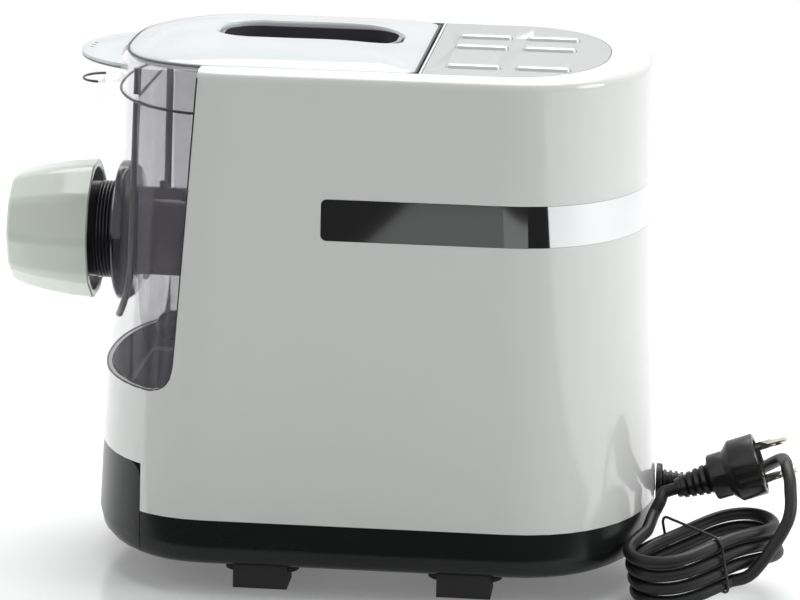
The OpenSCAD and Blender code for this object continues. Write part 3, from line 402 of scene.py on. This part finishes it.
def spline(points, n):
    """The smooth curve of the part's source through the given points, straight at both ends."""
    p = [np.array(q, float) for q in points]
    out = [p[0]]
    for i in range(1, len(p) - 2):
        a, b, c, d = p[i - 1], p[i], p[i + 1], p[i + 2]
        for k in range(n):
            t = k / n
            out.append(0.5 * (2 * b + (c - a) * t + (2 * a - 5 * b + 4 * c - d) * t * t
                              + (3 * b - a - 3 * c + d) * t * t * t))
    return out + [p[-2], p[-1]]


# ---------- the mains lead ----------

LEAD_D, GLAND_Z, GLAND_END_Y = 7.0, 47.0, 204.657
HANK_MID, HANK_YAW, HANK_TILT = np.array((62.0, 216.0, 14.0)), 38.0, 13.0
HANK_LOOPS, HANK_LEN, HANK_WID, HANK_WAIST, HANK_STEP = 4, 88.0, 64.0, 0.3, 7.9
HANK_START, CLIMB_FROM, CLIMB_RUN = 110.0, 20.0, 70.0
PLUG_FACE, PLUG_RISE, PLUG_LEN, PLUG_R = np.array((34.0, 243.0, 69.0)), 20.0, 49.0, 17.5


def lead_line():
    """The lead's centreline from the gland to the plug, in millimetres."""
    yaw, tilt, rise = (math.radians(a) for a in (HANK_YAW, HANK_TILT, PLUG_RISE))
    u = np.array((-math.sin(yaw) * math.cos(tilt), math.cos(yaw) * math.cos(tilt), math.sin(tilt)))
    v = np.array((math.cos(yaw), math.sin(yaw), 0.0))
    w = np.cross(v, u)

    def layer(t):
        s = t - CLIMB_FROM
        k = math.floor(s / 360)
        f = min(1.0, (s - 360 * k) / CLIMB_RUN)
        return max(0.0, k - 1 + f * f * (3 - 2 * f))

    def at(t):
        a = math.radians(t)
        return (HANK_MID + HANK_LEN / 2 * math.cos(a) * u + HANK_STEP * layer(t) * w
                + HANK_WID / 2 * math.sin(a) * (1 - HANK_WAIST * abs(math.sin(a)) ** 3) * v)

    def unit(q):
        return q / np.linalg.norm(q)

    end = HANK_START + 360 * (HANK_LOOPS - 1) + 115
    into, out = unit(at(HANK_START + 2) - at(HANK_START)), unit(at(end) - at(end - 2))
    first, last = at(HANK_START) - LEAD_D * into, at(end) + LEAD_D * out
    axis = np.array((0.0, math.cos(rise), math.sin(rise)))
    rear = PLUG_FACE - PLUG_LEN * axis
    lead = [(0, GLAND_END_Y, GLAND_Z), (0, GLAND_END_Y + LEAD_D, GLAND_Z), (0.5, 220, 49.5), (7, 242, 58),
            (24, 254, 69), (36, 257, 71), (47, 258, 70), (58, 260, 63), (71, 259, 46), (80, 242, 20),
            first - LEAD_D * into, first]
    tail = [last, last + LEAD_D * out, (42, 185, 39), (39, 188, 45), rear - LEAD_D * axis, rear]
    hank = [at(t) for t in np.arange(HANK_START, end + 0.01, 5.0)]
    return spline(lead, 8) + hank + spline(tail, 8), axis, u, v, w


class PASTA_OT_lead(bpy.types.Operator):
    """Makes the mains lead with its tied bundle, gland sleeve, tie and plug"""
    bl_idname = "pasta.lead"
    bl_label = "Mains lead"

    def execute(self, context):
        points, axis, u, v, w = lead_line()
        verts, faces = path_tube(points, LEAD_D / 2, 16)
        lead = new_piece("mains_lead", verts, faces, "lead_black", "casing",
                         ("cord_lead", "cord_hank", "cord_tail"), 50.0)
        length = sum(np.linalg.norm(b - a) for a, b in zip(points, points[1:]))
        y0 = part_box("cord_gland")[0].y / MM
        sleeve = [(0, 0), (0, 9.75), (2.6, 9.75), (3.5, 9.0), (3.5, 6.8)]
        n = 5
        for i in range(n):
            a, r = 3.9 + i * 3.2, 6.4 - i * 0.32
            sleeve += [(a, r - 1.1), (a + 0.3, r), (a + 1.7, r - 0.1), (a + 2.0, r - 1.2)]
        sleeve += [(GLAND_END_Y - y0, 4.2), (GLAND_END_Y - y0, 0)]
        verts, faces = lathe(sleeve, (0, y0, GLAND_Z), (0, 1, 0), 48)
        gland = new_piece("gland_sleeve", verts, faces, "lead_black", "casing", ("cord_gland",), 40.0)
        tie = self.wire_tie(u, v, w)
        plug = self.plug(axis)
        pins = dressed("plug_pins", "pin_nickel", 40.0, name="plug_pins_skin")
        [[c * MM for c in p] for p in points]
        return {"FINISHED"}

    def wire_tie(self, u, v, w):
        high, wide, place = HANK_STEP * (HANK_LOOPS - 1), HANK_WID * (1 - HANK_WAIST), -6.0
        centre = HANK_MID + place * u + high / 2 * w
        half_v, half_w, r = wide / 2 + LEAD_D / 2 + 1.3, high / 2 + LEAD_D / 2 + 1.3, 5.3
        points = []
        for sx, sy, start in ((1, 1, 0), (-1, 1, 90), (-1, -1, 180), (1, -1, 270)):
            for a in range(start, start + 91, 15):
                points.append(centre + v * (sx * (half_v - r) + r * math.cos(math.radians(a)))
                              + w * (sy * (half_w - r) + r * math.sin(math.radians(a))))
        verts, faces = path_tube(points, 0.8, 10, closed=True)
        return new_piece("wire_tie", verts, faces, "tie_black", "casing", ("cord_tie",), 50.0)

    def plug(self, axis):
        profile = [(0, 0), (0, 4.9), (0.6, 5.4)]
        for i in range(4):
            a, r = 4 + i * 4, 6.6 + i * 0.6
            profile += [(a - 0.8, r - 1.0), (a - 0.3, r), (a + 1.9, r + 0.2), (a + 2.3, r - 0.8)]
        r = PLUG_R
        profile += [(20.0, 9.0), (21.0, 12.4), (22.0, 13.0), (30.0, 13.0), (34.0, r - 0.5), (34.6, r),
                    (48.4, r), (49.0, r - 0.6), (49.0, r - 2.9), (47.6, r - 3.5), (47.6, 0)]
        ring, faces = lathe(profile, PLUG_FACE - PLUG_LEN * axis, axis, 72)
        cut = []
        for p in ring:
            q = np.array(p)
            along = float(np.dot(q - PLUG_FACE, axis)) + PLUG_LEN
            aside = q[0] - PLUG_FACE[0]
            if along > 20.5 and abs(aside) > r - 1.6:
                q[0] = PLUG_FACE[0] + math.copysign(r - 1.6 + 0.2 * (abs(aside) - r + 1.6), aside)
            cut.append(tuple(q))
        return new_piece("plug_moulding", cut, faces, "plug_black", "casing", ("plug_body",), 40.0)


# ---------- casing ----------

class PASTA_OT_casing(bpy.types.Operator):
    """Makes the casing, the base, the drawer front, the steel band and the feet"""
    bl_idname = "pasta.casing"
    bl_label = "Casing and base"

    def execute(self, context):
        for node in ("main_shell", "base_tray", "drawer_front"):
            dressed(node, follow_body=True)
        dressed("trim_band", follow_body=True)
        for node in ("foot_front_right", "foot_front_left", "foot_rear_right", "foot_rear_left"):
            dressed(node)
        return {"FINISHED"}


def mouth_y(z):
    return FRONT_Y + 52.0 + (z - 111.0) * (13.0 / 180.0)


def on_side(y, z, out=0.0):
    """A point on the right side of the body, or on its bowed end."""
    x = side_x(y, z)
    n = body_normal(x, y, z)
    return Vector((x, y, z)) + n * out


def mouth_line(out, shift=0.0):
    """The edge of the chamber's mouth from the rim on the right, round the sill and up the left."""
    right = []
    for k in range(0, 25):
        z = 287.0 - k * (287.0 - 127.0) / 24
        right.append(on_side(mouth_y(z) - shift, z, out))
    y1, z1, r = mouth_y(127.0) - 16.0, 127.0, 16.0
    for a in range(0, 91, 10):
        y = y1 + r * math.cos(math.radians(a)) - shift
        z = z1 - (r - shift) * math.sin(math.radians(a))
        right.append(on_side(y, z, out))
    y, z = y1, 111.0 + shift
    front = outline_size(z, 0)[1]
    for k in range(1, 31):
        yy = y + (front - y) * (1 - (1 - k / 30.0) ** 1.8)
        right.append(Vector((side_x(yy, z), yy, z)) + body_normal(side_x(yy, z), yy, z) * out)
    left = [Vector((-p.x, p.y, p.z)) for p in reversed(right[:-1])]
    return right + left


def seam_line(z, out, y_from):
    """A level line round the front of the body, from side to side."""
    front = outline_size(z, 0)[1]
    right = []
    for k in range(0, 41):
        yy = y_from + (front - y_from) * (1 - (1 - k / 40.0) ** 1.8)
        right.append(Vector((side_x(yy, z), yy, z)) + body_normal(side_x(yy, z), yy, z) * out)
    return right + [Vector((-p.x, p.y, p.z)) for p in reversed(right[:-1])]


def plate_edge(z, side):
    """The edge of the clear cover's inner plate, which curves forward at its foot."""
    y = -105.0 - (285.0 - z) * 0.02 - 9.0 * max(0.0, (178.0 - z) / 36.0) ** 2
    return side * side_x(y, z, 4.8), y, z


def strip_tree():
    """Geometry nodes: a thin seal of a given radius along a curve."""
    tree = bpy.data.node_groups.new("seam_seal", "GeometryNodeTree")
    face = tree.interface
    face.new_socket("Geometry", in_out="INPUT", socket_type="NodeSocketGeometry")
    for name, value in (("Seal radius", 0.0006), ("Spacing", 0.002)):
        s = face.new_socket(name, in_out="INPUT", socket_type="NodeSocketFloat")
        s.default_value = value
    face.new_socket("Finish", in_out="INPUT", socket_type="NodeSocketMaterial")
    face.new_socket("Geometry", in_out="OUTPUT", socket_type="NodeSocketGeometry")
    make, link = tree.nodes.new, tree.links.new
    start, end = make("NodeGroupInput"), make("NodeGroupOutput")
    even, round_, tube = make("GeometryNodeResampleCurve"), make("GeometryNodeCurvePrimitiveCircle"), \
        make("GeometryNodeCurveToMesh")
    real, paint = make("GeometryNodeRealizeInstances"), make("GeometryNodeSetMaterial")
    even.mode = "LENGTH"
    round_.inputs["Resolution"].default_value = 8
    tube.inputs["Fill Caps"].default_value = True
    link(start.outputs["Geometry"], even.inputs["Curve"])
    link(start.outputs["Spacing"], even.inputs["Length"])
    link(start.outputs["Seal radius"], round_.inputs["Radius"])
    link(even.outputs["Curve"], tube.inputs["Curve"])
    link(round_.outputs["Curve"], tube.inputs["Profile Curve"])
    link(tube.outputs["Mesh"], real.inputs["Geometry"])
    link(real.outputs["Geometry"], paint.inputs["Geometry"])
    link(start.outputs["Finish"], paint.inputs["Material"])
    link(paint.outputs["Geometry"], end.inputs["Geometry"])
    return tree


def seal_along(name, points, radius, body, slot="seam_dark_and_edge_shade", cyclic=False):
    """A thin seal along a line, made by geometry nodes and turned into a plain mesh; the same tube also draws
    the neck's thread and the painted shade lines along clear edges.
    """
    curve = bpy.data.curves.new(name + "_line", "CURVE")
    curve.dimensions = "3D"
    line = curve.splines.new("POLY")
    line.points.add(len(points) - 1)
    for q, p in zip(line.points, points):
        q.co = (p[0] * MM, p[1] * MM, p[2] * MM, 1.0)
    line.use_cyclic_u = cyclic
    holder = bpy.data.objects.new(name + "_line", curve)
    bpy.context.scene.collection.objects.link(holder)
    tree = bpy.data.node_groups.get("seam_seal") or strip_tree()
    mod = holder.modifiers.new("seal", "NODES")
    mod.node_group = tree
    sizes = {"Seal radius": radius * MM, "Spacing": 0.002, "Finish": FINISH[slot]}
    for item in tree.interface.items_tree:
        if item.item_type == "SOCKET" and item.in_out == "INPUT" and item.name in sizes:
            mod[item.identifier] = sizes[item.name]
    bpy.context.view_layer.update()
    mesh = bpy.data.meshes.new_from_object(holder.evaluated_get(bpy.context.evaluated_depsgraph_get()))
    holder.modifiers.remove(mod)
    bpy.data.objects.remove(holder)
    return finish_piece(name, mesh, slot, body, (), 60.0)


# The body and the heights of each dark plate edge, and the rounded edges of the brim and the latch tab; these
# dark lines are painted shade, where the clear plastic's edges bend light away
PLATE_EDGES = (("front_unit", 142.0, 266.0), ("lid", 269.6, 284.0))
BRIM_R, BRIM_MID_Y = 68.2, -76.592
TAB_HALF, TAB_REACH, TAB_MID_Y = 14.3, 11.4, -133.9


class PASTA_OT_seals(bpy.types.Operator):
    """Runs the dark seals along the seams, and the painted shade lines along the edges of the inner plate, brim
    and latch, where the clear plastic bends light away
    """
    bl_idname = "pasta.seals"
    bl_label = "Seam seals"

    def execute(self, context):
        seal_along("mouth_seal", mouth_line(-0.55), 0.55, "casing")
        seal_along("cover_top_seal", seam_line(267.4, -0.7, mouth_y(268) - 1.0), 0.75, "front_unit")
        ring = [(x, y, RIM_Z - 0.9) for x, y in lid_outline(-0.45)]
        seal_along("lid_edge_seal", ring, 0.75, "casing", cyclic=True)
        # Painted shade lines along the clear inner plate's edges on both sides
        for body, low, high in PLATE_EDGES:
            for side in (-1, 1):
                edge = [plate_edge(low + (high - low) * k / 20, side) for k in range(21)]
                seal_along("%s_plate_edge_%d" % (body, 1 if side > 0 else 2), edge, 2.1, body, "plate_edge")
        # Painted shade lines along the rounded clear edges of the brim and the latch tab, in the seams' dark
        # colour
        turn = [math.radians(a) for a in range(-56, 57, 4)]
        rim = [(BRIM_R * math.sin(a), BRIM_MID_Y - BRIM_R * math.cos(a), 283.3) for a in turn]
        seal_along("brim_edge", rim, 0.95, "lid")
        turn = [math.radians(a) for a in range(-84, 85, 6)]
        tab = [(TAB_HALF * math.sin(a), TAB_MID_Y - TAB_REACH * math.cos(a), 267.1) for a in turn]
        seal_along("latch_edge", tab, 0.7, "latch")
        return {"FINISHED"}


# ---------- lid ----------

def bow(t, p):
    return math.copysign(abs(t) ** (2 / p), t)


def lid_outline(inset, count=44):
    """The lid's edge from above, as in the part's source, with more points."""
    half, rear, corner = LID_W / 2 - inset, LID_REAR_Y - inset, 8.0
    front = FRONT_Y + (RIM_Z - SEAM_Z) * END_TAN + 5 + inset
    out = []
    for a in range(0, 91, 6):
        c, s = math.cos(math.radians(a)), math.sin(math.radians(a))
        out.append((half - corner + corner * c, rear - corner + corner * s))
    for a in range(90, 181, 6):
        c, s = math.cos(math.radians(a)), math.sin(math.radians(a))
        out.append((corner - half + corner * c, rear - corner + corner * s))
    for i in range(count + 1):
        a = math.pi * i / count
        out.append((-half * bow(math.cos(a), 2.8), front + FRONT_BOW - FRONT_BOW * bow(math.sin(a), 2.8)))
    return out


def reach(outline, centre, angle):
    """Distance from a centre to an outline in one direction."""
    dx, dy = math.cos(angle), math.sin(angle)
    best = 0.0
    for (x0, y0), (x1, y1) in zip(outline, outline[1:] + outline[:1]):
        ex, ey = x1 - x0, y1 - y0
        det = dx * -ey + dy * ex
        if abs(det) < 1e-9:
            continue
        rx, ry = x0 - centre[0], y0 - centre[1]
        t, s = (rx * -ey + ry * ex) / det, (dx * ry - dy * rx) / det
        if t > 0 and -1e-6 <= s <= 1 + 1e-6:
            best = max(best, t)
    return best


def slot_outline(grow):
    w, l, r, out = SLOT_W / 2 + grow, SLOT_LEN / 2 + grow, SLOT_CORNER + grow, []
    for sx, sy, start in ((1, 1, 0), (-1, 1, 90), (-1, -1, 180), (1, -1, 270)):
        for a in range(start, start + 91, 6):
            out.append((sx * (w - r) + r * math.cos(math.radians(a)),
                        SLOT_Y + sy * (l - r) + r * math.sin(math.radians(a))))
    return out


def crown_z(s):
    return RIM_Z + LID_CROWN * (1 - min(1.0, s) ** 4)


class PASTA_OT_lid(bpy.types.Operator):
    """Makes the crowned lid with its bevelled slot, the skirt, the brim and the liner"""
    bl_idname = "pasta.lid"
    bl_label = "Lid"

    def execute(self, context):
        centre, n = (0.0, LID_MID_Y), 240
        edge, slot = lid_outline(0.0), slot_outline(0.0)
        rings = []
        angles = [2 * math.pi * i / n for i in range(n)]
        far = [reach(edge, centre, a) for a in angles]
        near = [reach(slot, centre, a) for a in angles]

        def ring(distance, height):
            return [(centre[0] + math.cos(a) * d, centre[1] + math.sin(a) * d, z)
                    for a, d, z in zip(angles, distance, height)]

        rings.append(ring(near, [crown_z(d / f) - LID_T for d, f in zip(near, far)]))
        rings.append(ring(near, [crown_z(d / f) - 1.5 for d, f in zip(near, far)]))
        rings.append(ring([d + 0.2 for d in near], [crown_z(d / f) - 1.0 for d, f in zip(near, far)]))
        rings.append(ring([d + 1.3 for d in near], [crown_z(d / f) - 0.05 for d, f in zip(near, far)]))
        steps = 18
        for k in range(1, steps + 1):
            t = k / steps
            d = [(a + 1.3) + (b - 1.2 - a - 1.3) * t for a, b in zip(near, far)]
            rings.append(ring(d, [crown_z(q / f) for q, f in zip(d, far)]))
        rings.append(ring([f - 0.35 for f in far], [RIM_Z - 0.25] * n))
        rings.append(ring(far, [RIM_Z - 0.8] * n))
        rings.append(ring(far, [RIM_Z - 3.0] * n))
        rings.append(ring([f - 0.7 for f in far], [RIM_Z - 3.8] * n))
        rings.append(ring([f - 3.0 for f in far], [RIM_Z - 3.8] * n))
        rings.append(ring([f - 3.4 for f in far], [RIM_Z - 3.0] * n))
        for k in range(1, 7):
            t = k / 7
            d = [(b - 3.4) + (a - b + 3.4) * t for a, b in zip(near, far)]
            rings.append(ring(d, [crown_z(q / f) - LID_T for q, f in zip(d, far)]))
        verts, faces = ring_mesh(rings, False, False)
        new_piece("lid_dome", verts, faces, "lid_clear", "lid", ("lid_top",), 30.0)
        dressed("lid_skirt", follow_body=True)
        dressed("lid_brim", smooth=30.0)
        dressed("slot_liner", smooth=30.0)
        return {"FINISHED"}


# ---------- extruder ----------

NUT_REAR_Y, NUT_LEN, NUT_R, NUT_FRONT_R, NUT_FLATS = -137.108, 47.3, 38.5, 29.0, 10
FLANGE_Y, FLANGE_R, THREAD_R = -124.108, 39.5, 27.25


def nut_profile(t):
    """The nut's flat radius along its length, bulged like a barrel."""
    steps = [(0, 0), (0.3, 0.12), (0.6, 0.36), (0.85, 0.66), (0.96, 0.88), (1, 1)]
    for (a, va), (b, vb) in zip(steps, steps[1:]):
        if t <= b:
            f = (t - a) / (b - a)
            return NUT_R - (NUT_R - NUT_FRONT_R) * (va + (vb - va) * f)
    return NUT_FRONT_R


class PASTA_OT_extruder(bpy.types.Operator):
    """Makes the ten-sided nut, its threaded neck and the flange"""
    bl_idname = "pasta.extruder"
    bl_label = "Extruder"

    def execute(self, context):
        n = NUT_FLATS * 16
        sector = 2 * math.pi / NUT_FLATS

        def ring(along, radius, flat=1.0):
            out = []
            for k in range(n):
                a = 2 * math.pi * k / n
                d = (a % sector) - sector / 2
                r = min(radius / math.cos(d), radius * 1.03)
                r = radius + (r - radius) * flat
                out.append((r * math.cos(a), NUT_REAR_Y - along, AXIS_Z + r * math.sin(a)))
            return out

        rings = [ring(7.0, NUT_R - 3.6, 0), ring(0.8, NUT_R - 3.5, 0), ring(0.0, NUT_R - 2.6, 0.6),
                 ring(0.0, NUT_R - 0.9, 1), ring(0.7, NUT_R - 0.1, 1)]
        for k in range(1, 26):
            t = k / 26.0
            a = nut_profile(max(0.0, t - 0.06))
            b = nut_profile(min(1.0, t + 0.06))
            rings.append(ring(t * NUT_LEN, min((a + b) / 2, nut_profile(t)) - 0.02, 1))
        rings += [ring(NUT_LEN - 0.5, NUT_FRONT_R - 0.4, 1), ring(NUT_LEN, NUT_FRONT_R - 1.4, 0.7),
                  ring(NUT_LEN, 25.0, 0), ring(NUT_LEN - 0.4, 24.3, 0), ring(NUT_LEN - 2.2, 22.0, 0),
                  ring(NUT_LEN - 4.0, 22.0, 0), ring(NUT_LEN - 4.0, 28.6, 0), ring(7.0, 28.6, 0)]
        verts, faces = ring_mesh(rings, False, False)
        new_piece("nut_shell", verts, faces, "nut_white", "nut", ("extruder_nut",), 26.0)
        r = FLANGE_R
        profile = [(0, 27.1), (0, r - 1.9), (0.5, r - 0.7), (1.4, r - 0.05), (6, r - 0.05), (6.8, r - 0.4),
                   (10.2, r - 3.1), (10.5, r - 3.7), (10.5, 27.1)]
        rings = [[(r * math.cos(a), FLANGE_Y + y, AXIS_Z + r * math.sin(a)) for a in
                  (2 * math.pi * k / 120 for k in range(120))] for y, r in profile]
        verts, faces = ring_mesh(rings, False, False)
        new_piece("flange_ring", verts, faces, "flange_black", "front_unit", ("collar_flange",), 30.0)
        thread = []
        for k in range(0, 241):
            a = 2 * math.pi * k / 48
            y = FLANGE_Y - 1.6 - k * 9.6 / 240
            thread.append((THREAD_R * math.cos(a), y, AXIS_Z + THREAD_R * math.sin(a)))
        seal_along("neck_thread", thread, 0.55, "front_unit", "barrel_dark")
        for node in ("extruder_barrel", "shaping_disc", "front_cover", "latch_tab"):
            dressed(node, follow_body=node == "front_cover", smooth=30.0)
        return {"FINISHED"}


# ---------- panel ----------

class PASTA_OT_panel(bpy.types.Operator):
    """Makes the brushed panel and its six raised buttons with soft edges"""
    bl_idname = "pasta.panel"
    bl_label = "Panel and buttons"

    def execute(self, context):
        dressed("panel_plate", smooth=30.0)
        for i in range(1, 7):
            node = "button_%d" % i
            lo, hi = (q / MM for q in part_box(node))
            cx, cy = (lo.x + hi.x) / 2, (lo.y + hi.y) / 2
            half_w, half_l, top = (hi.x - lo.x) / 2, (hi.y - lo.y) / 2, hi.z
            rings = []
            for inset, z in ((0, RIM_Z - 3), (0, top - 1.3), (0.25, top - 0.75), (0.8, top - 0.3),
                             (1.7, top - 0.06), (2.7, top)):
                ring = []
                r = half_w - inset
                for k in range(48):
                    a = 2 * math.pi * k / 48
                    shift = (half_l - half_w) * (1 if math.sin(a) >= 0 else -1)
                    ring.append((cx + r * math.cos(a), cy + shift + r * math.sin(a), z))
                rings.append(ring)
            verts, faces = ring_mesh(rings)
            new_piece("key_%d_cap" % i, verts, faces, "button_silver", "key_%d" % i, (node,), 60.0)
        return {"FINISHED"}


# ---------- everything else ----------

class PASTA_OT_inside(bpy.types.Operator):
    """Gives every other piece its finish"""
    bl_idname = "pasta.inside"
    bl_label = "Inner pieces"

    def execute(self, context):
        for name, node in NODES.items():
            if node.hide_render:
                continue
            node.data.materials.clear()
            node.data.materials.append(FINISH[SLOT_OF[name]])
        for name in ("mixing_bowl", "mixing_paddle", "auger_screw", "drive_shaft", "motor", "lid_seal"):
            dressed(name, smooth=30.0)
        return {"FINISHED"}


# ---------- stage ----------

# The camera's azimuth, height and roll in degrees, what it looks at and how far it stands, in metres
CAMERA_TURN, CAMERA_TARGET, CAMERA_AWAY = (95.053, 13.195, 1.291), (0.0, 0.0362, 0.1457), 2.2654
# Cards for the reflections in the band: name, height, corners in plan and strength
CARDS = (("dark_table", 0.002, ((0.145, -3), (3, -3), (3, 1.9), (0.145, 0.42)), 0.02),
         ("band_glow_near", 0.004, ((0.78, -0.10), (1.3, -0.05), (1.3, 0.10), (0.78, 0.09)), 0.13),
         ("band_glow_far", 0.004, ((0.78, 0.09), (1.3, 0.10), (1.24, 0.50), (0.76, 0.33)), 0.2))


class PASTA_OT_stage(bpy.types.Operator):
    """Sets the camera, the pale floor, the soft lights and the bright surroundings"""
    bl_idname = "pasta.stage"
    bl_label = "Stage"

    def execute(self, context):
        look = context.scene.pasta_stage
        self.camera()
        t = Tree("floor_pale")
        shade = t.mix(t.noise(3.0, 2.0), rgb(0.90, 0.91, 0.91), rgb(0.93, 0.94, 0.94))
        floor_shader = t.surface(colour=shade, rough=0.16, specular=0.5, glow=rgb(1, 1, 1), glow_power=0.16)
        mesh = bpy.data.meshes.new("floor")
        mesh.from_pydata([(-30, -30, 0), (30, -30, 0), (30, 30, 0), (-30, 30, 0)], [], [(0, 1, 2, 3)])
        mesh.materials.append(floor_shader)
        floor = bpy.data.objects.new("floor", mesh)
        context.scene.collection.objects.link(floor)
        floor.location.z = -0.0003
        world = bpy.data.worlds.new("room")
        context.scene.world = world
        world.use_nodes = True
        nt = world.node_tree
        nt.nodes.clear()
        out, ray = nt.nodes.new("ShaderNodeOutputWorld"), nt.nodes.new("ShaderNodeLightPath")
        dim, bright, mix = (nt.nodes.new(k) for k in ("ShaderNodeBackground", "ShaderNodeBackground",
                                                      "ShaderNodeMixShader"))
        dim.inputs["Color"].default_value = (1, 1, 1, 1)
        dim.inputs["Strength"].default_value = look.room_strength
        bright.inputs["Color"].default_value = (1, 1, 1, 1)
        bright.inputs["Strength"].default_value = 1.0
        seen = nt.nodes.new("ShaderNodeMath")
        seen.operation = "MAXIMUM"
        nt.links.new(ray.outputs["Is Camera Ray"], seen.inputs[0])
        nt.links.new(ray.outputs["Is Glossy Ray"], seen.inputs[1])
        more = nt.nodes.new("ShaderNodeMath")
        more.operation = "MAXIMUM"
        nt.links.new(seen.outputs[0], more.inputs[0])
        nt.links.new(ray.outputs["Is Transmission Ray"], more.inputs[1])
        nt.links.new(more.outputs[0], mix.inputs[0])
        nt.links.new(dim.outputs[0], mix.inputs[1])
        nt.links.new(bright.outputs[0], mix.inputs[2])
        nt.links.new(mix.outputs[0], out.inputs["Surface"])
        self.lamp("top_light", (-0.8, 0.1, 2.2), (0, 0, 0.1), 2.4, look.top_power)
        self.lamp("rear_light", (0.2, 2.3, 1.1), (0, 0.1, 0.15), 1.2, look.rear_power)
        self.lamp("front_light", (-0.5, -2.4, 1.2), (0, -0.1, 0.18), 1.2, look.front_power)
        for name, height, corners, strength in CARDS:
            self.card(name, [(x, y, height) for x, y in corners], strength)
        settings = context.scene.view_settings
        settings.view_transform = "Standard"
        return {"FINISHED"}

    def camera(self):
        az, el, roll = (math.radians(a) for a in CAMERA_TURN)
        target, distance = Vector(CAMERA_TARGET), CAMERA_AWAY
        back = Vector((math.sin(az) * math.cos(el), -math.cos(az) * math.cos(el), math.sin(el)))
        right = (-back).cross(Vector((0, 0, 1))).normalized()
        up = right.cross(-back)
        right2, up2 = right * math.cos(roll) + up * math.sin(roll), up * math.cos(roll) - right * math.sin(roll)
        data = bpy.data.cameras.new("camera")
        data.lens, data.sensor_width = 180.0, 36.0
        data.clip_start, data.clip_end = 0.1, 100.0
        cam = bpy.data.objects.new("camera", data)
        bpy.context.scene.collection.objects.link(cam)
        place = target + back * distance
        cam.matrix_world = Matrix([(right2[i], up2[i], back[i], place[i]) for i in range(3)] + [(0, 0, 0, 1)])
        bpy.context.scene.camera = cam

    def lamp(self, name, place, target, size, power):
        data = bpy.data.lights.new(name, "AREA")
        data.shape, data.size, data.energy = "DISK", size, power
        lamp = bpy.data.objects.new(name, data)
        bpy.context.scene.collection.objects.link(lamp)
        lamp.location = place
        lamp.rotation_euler = (Vector(target) - Vector(place)).to_track_quat("-Z", "Y").to_euler()

    def card(self, name, corners, strength):
        """A card on the floor that only reflections see, and only from above."""
        t = Tree(name)
        glow = t.node("ShaderNodeEmission", inputs={"Color": rgb(1, 1, 1), "Strength": strength})
        under = t.node("ShaderNodeNewGeometry", out="Backfacing")
        both = t.node("ShaderNodeMixShader", inputs={0: under, 1: glow, 2: t.node("ShaderNodeBsdfTransparent")})
        t.nt.links.new(both.out, t.output.inputs["Surface"])
        mesh = bpy.data.meshes.new(name)
        mesh.from_pydata(corners, [], [(0, 1, 2, 3)])
        mesh.materials.append(t.material)
        card = bpy.data.objects.new(name, mesh)
        bpy.context.scene.collection.objects.link(card)
        card.visible_camera = card.visible_diffuse = card.visible_transmission = card.visible_shadow = False
        card.visible_volume_scatter = False


# ---------- settings, panel and registration ----------

class PastaFinish(bpy.types.PropertyGroup):
    casing_colour: bpy.props.FloatVectorProperty(name="Casing", description="Colour of the casing", size=3,
                                                 subtype="COLOR", min=0, max=1, default=(0.79, 0.80, 0.785))
    clear_colour: bpy.props.FloatVectorProperty(name="Clear covers", description="Tint of the clear covers",
                                                size=3, subtype="COLOR", min=0, max=1,
                                                default=(0.30, 0.28, 0.33))
    clear_alpha: bpy.props.FloatProperty(name="Clear cover density",
                                         description="How much the clear covers hide", min=0.02, max=1,
                                         default=0.125, subtype="FACTOR")
    bowl_alpha: bpy.props.FloatProperty(name="Bowl density", description="How much more the mixing bowl hides",
                                        min=0, max=1, default=0.07, subtype="FACTOR")


class PastaStage(bpy.types.PropertyGroup):
    room_strength: bpy.props.FloatProperty(name="Room light", description="Strength of the surroundings", min=0,
                                           max=2, default=0.23)
    top_power: bpy.props.FloatProperty(name="Top light", description="Power of the light above", min=0, max=400,
                                       default=60.0, unit="POWER")
    rear_power: bpy.props.FloatProperty(name="Rear light", description="Power of the light behind", min=0,
                                        max=400, default=16.0, unit="POWER")
    front_power: bpy.props.FloatProperty(name="Front light", description="Power of the light in front", min=0,
                                         max=400, default=8.0, unit="POWER")


class PASTA_PT_sidebar(bpy.types.Panel):
    """Lists the pieces and the stage"""
    bl_idname = "PASTA_PT_sidebar"
    bl_label = "Pasta maker"
    bl_space_type = "VIEW_3D"
    bl_region_type = "UI"
    bl_category = "Pasta maker"

    def draw(self, context):
        for group in (context.scene.pasta_finish, context.scene.pasta_stage):
            for name in group.__annotations__:
                self.layout.prop(group, name)
        for maker in MAKERS:
            self.layout.operator(maker.bl_idname)


MAKERS = (PASTA_OT_stage, PASTA_OT_lead, PASTA_OT_casing, PASTA_OT_lid, PASTA_OT_extruder, PASTA_OT_panel,
          PASTA_OT_seals, PASTA_OT_inside)
CLASSES = (PastaFinish, PastaStage, *MAKERS, PASTA_PT_sidebar)


def register():
    for cls in CLASSES:
        bpy.utils.register_class(cls)
    bpy.types.Scene.pasta_finish = bpy.props.PointerProperty(type=PastaFinish)
    bpy.types.Scene.pasta_stage = bpy.props.PointerProperty(type=PastaStage)


def unregister():
    del bpy.types.Scene.pasta_finish, bpy.types.Scene.pasta_stage
    for cls in reversed(CLASSES):
        bpy.utils.unregister_class(cls)


FINISH = {}


def main():
    register()
    FINISH.update(finishes())
    for maker in MAKERS:
        group, name = maker.bl_idname.split(".")
        getattr(getattr(bpy.ops, group), name)()


if __name__ == "__main__":
    main()
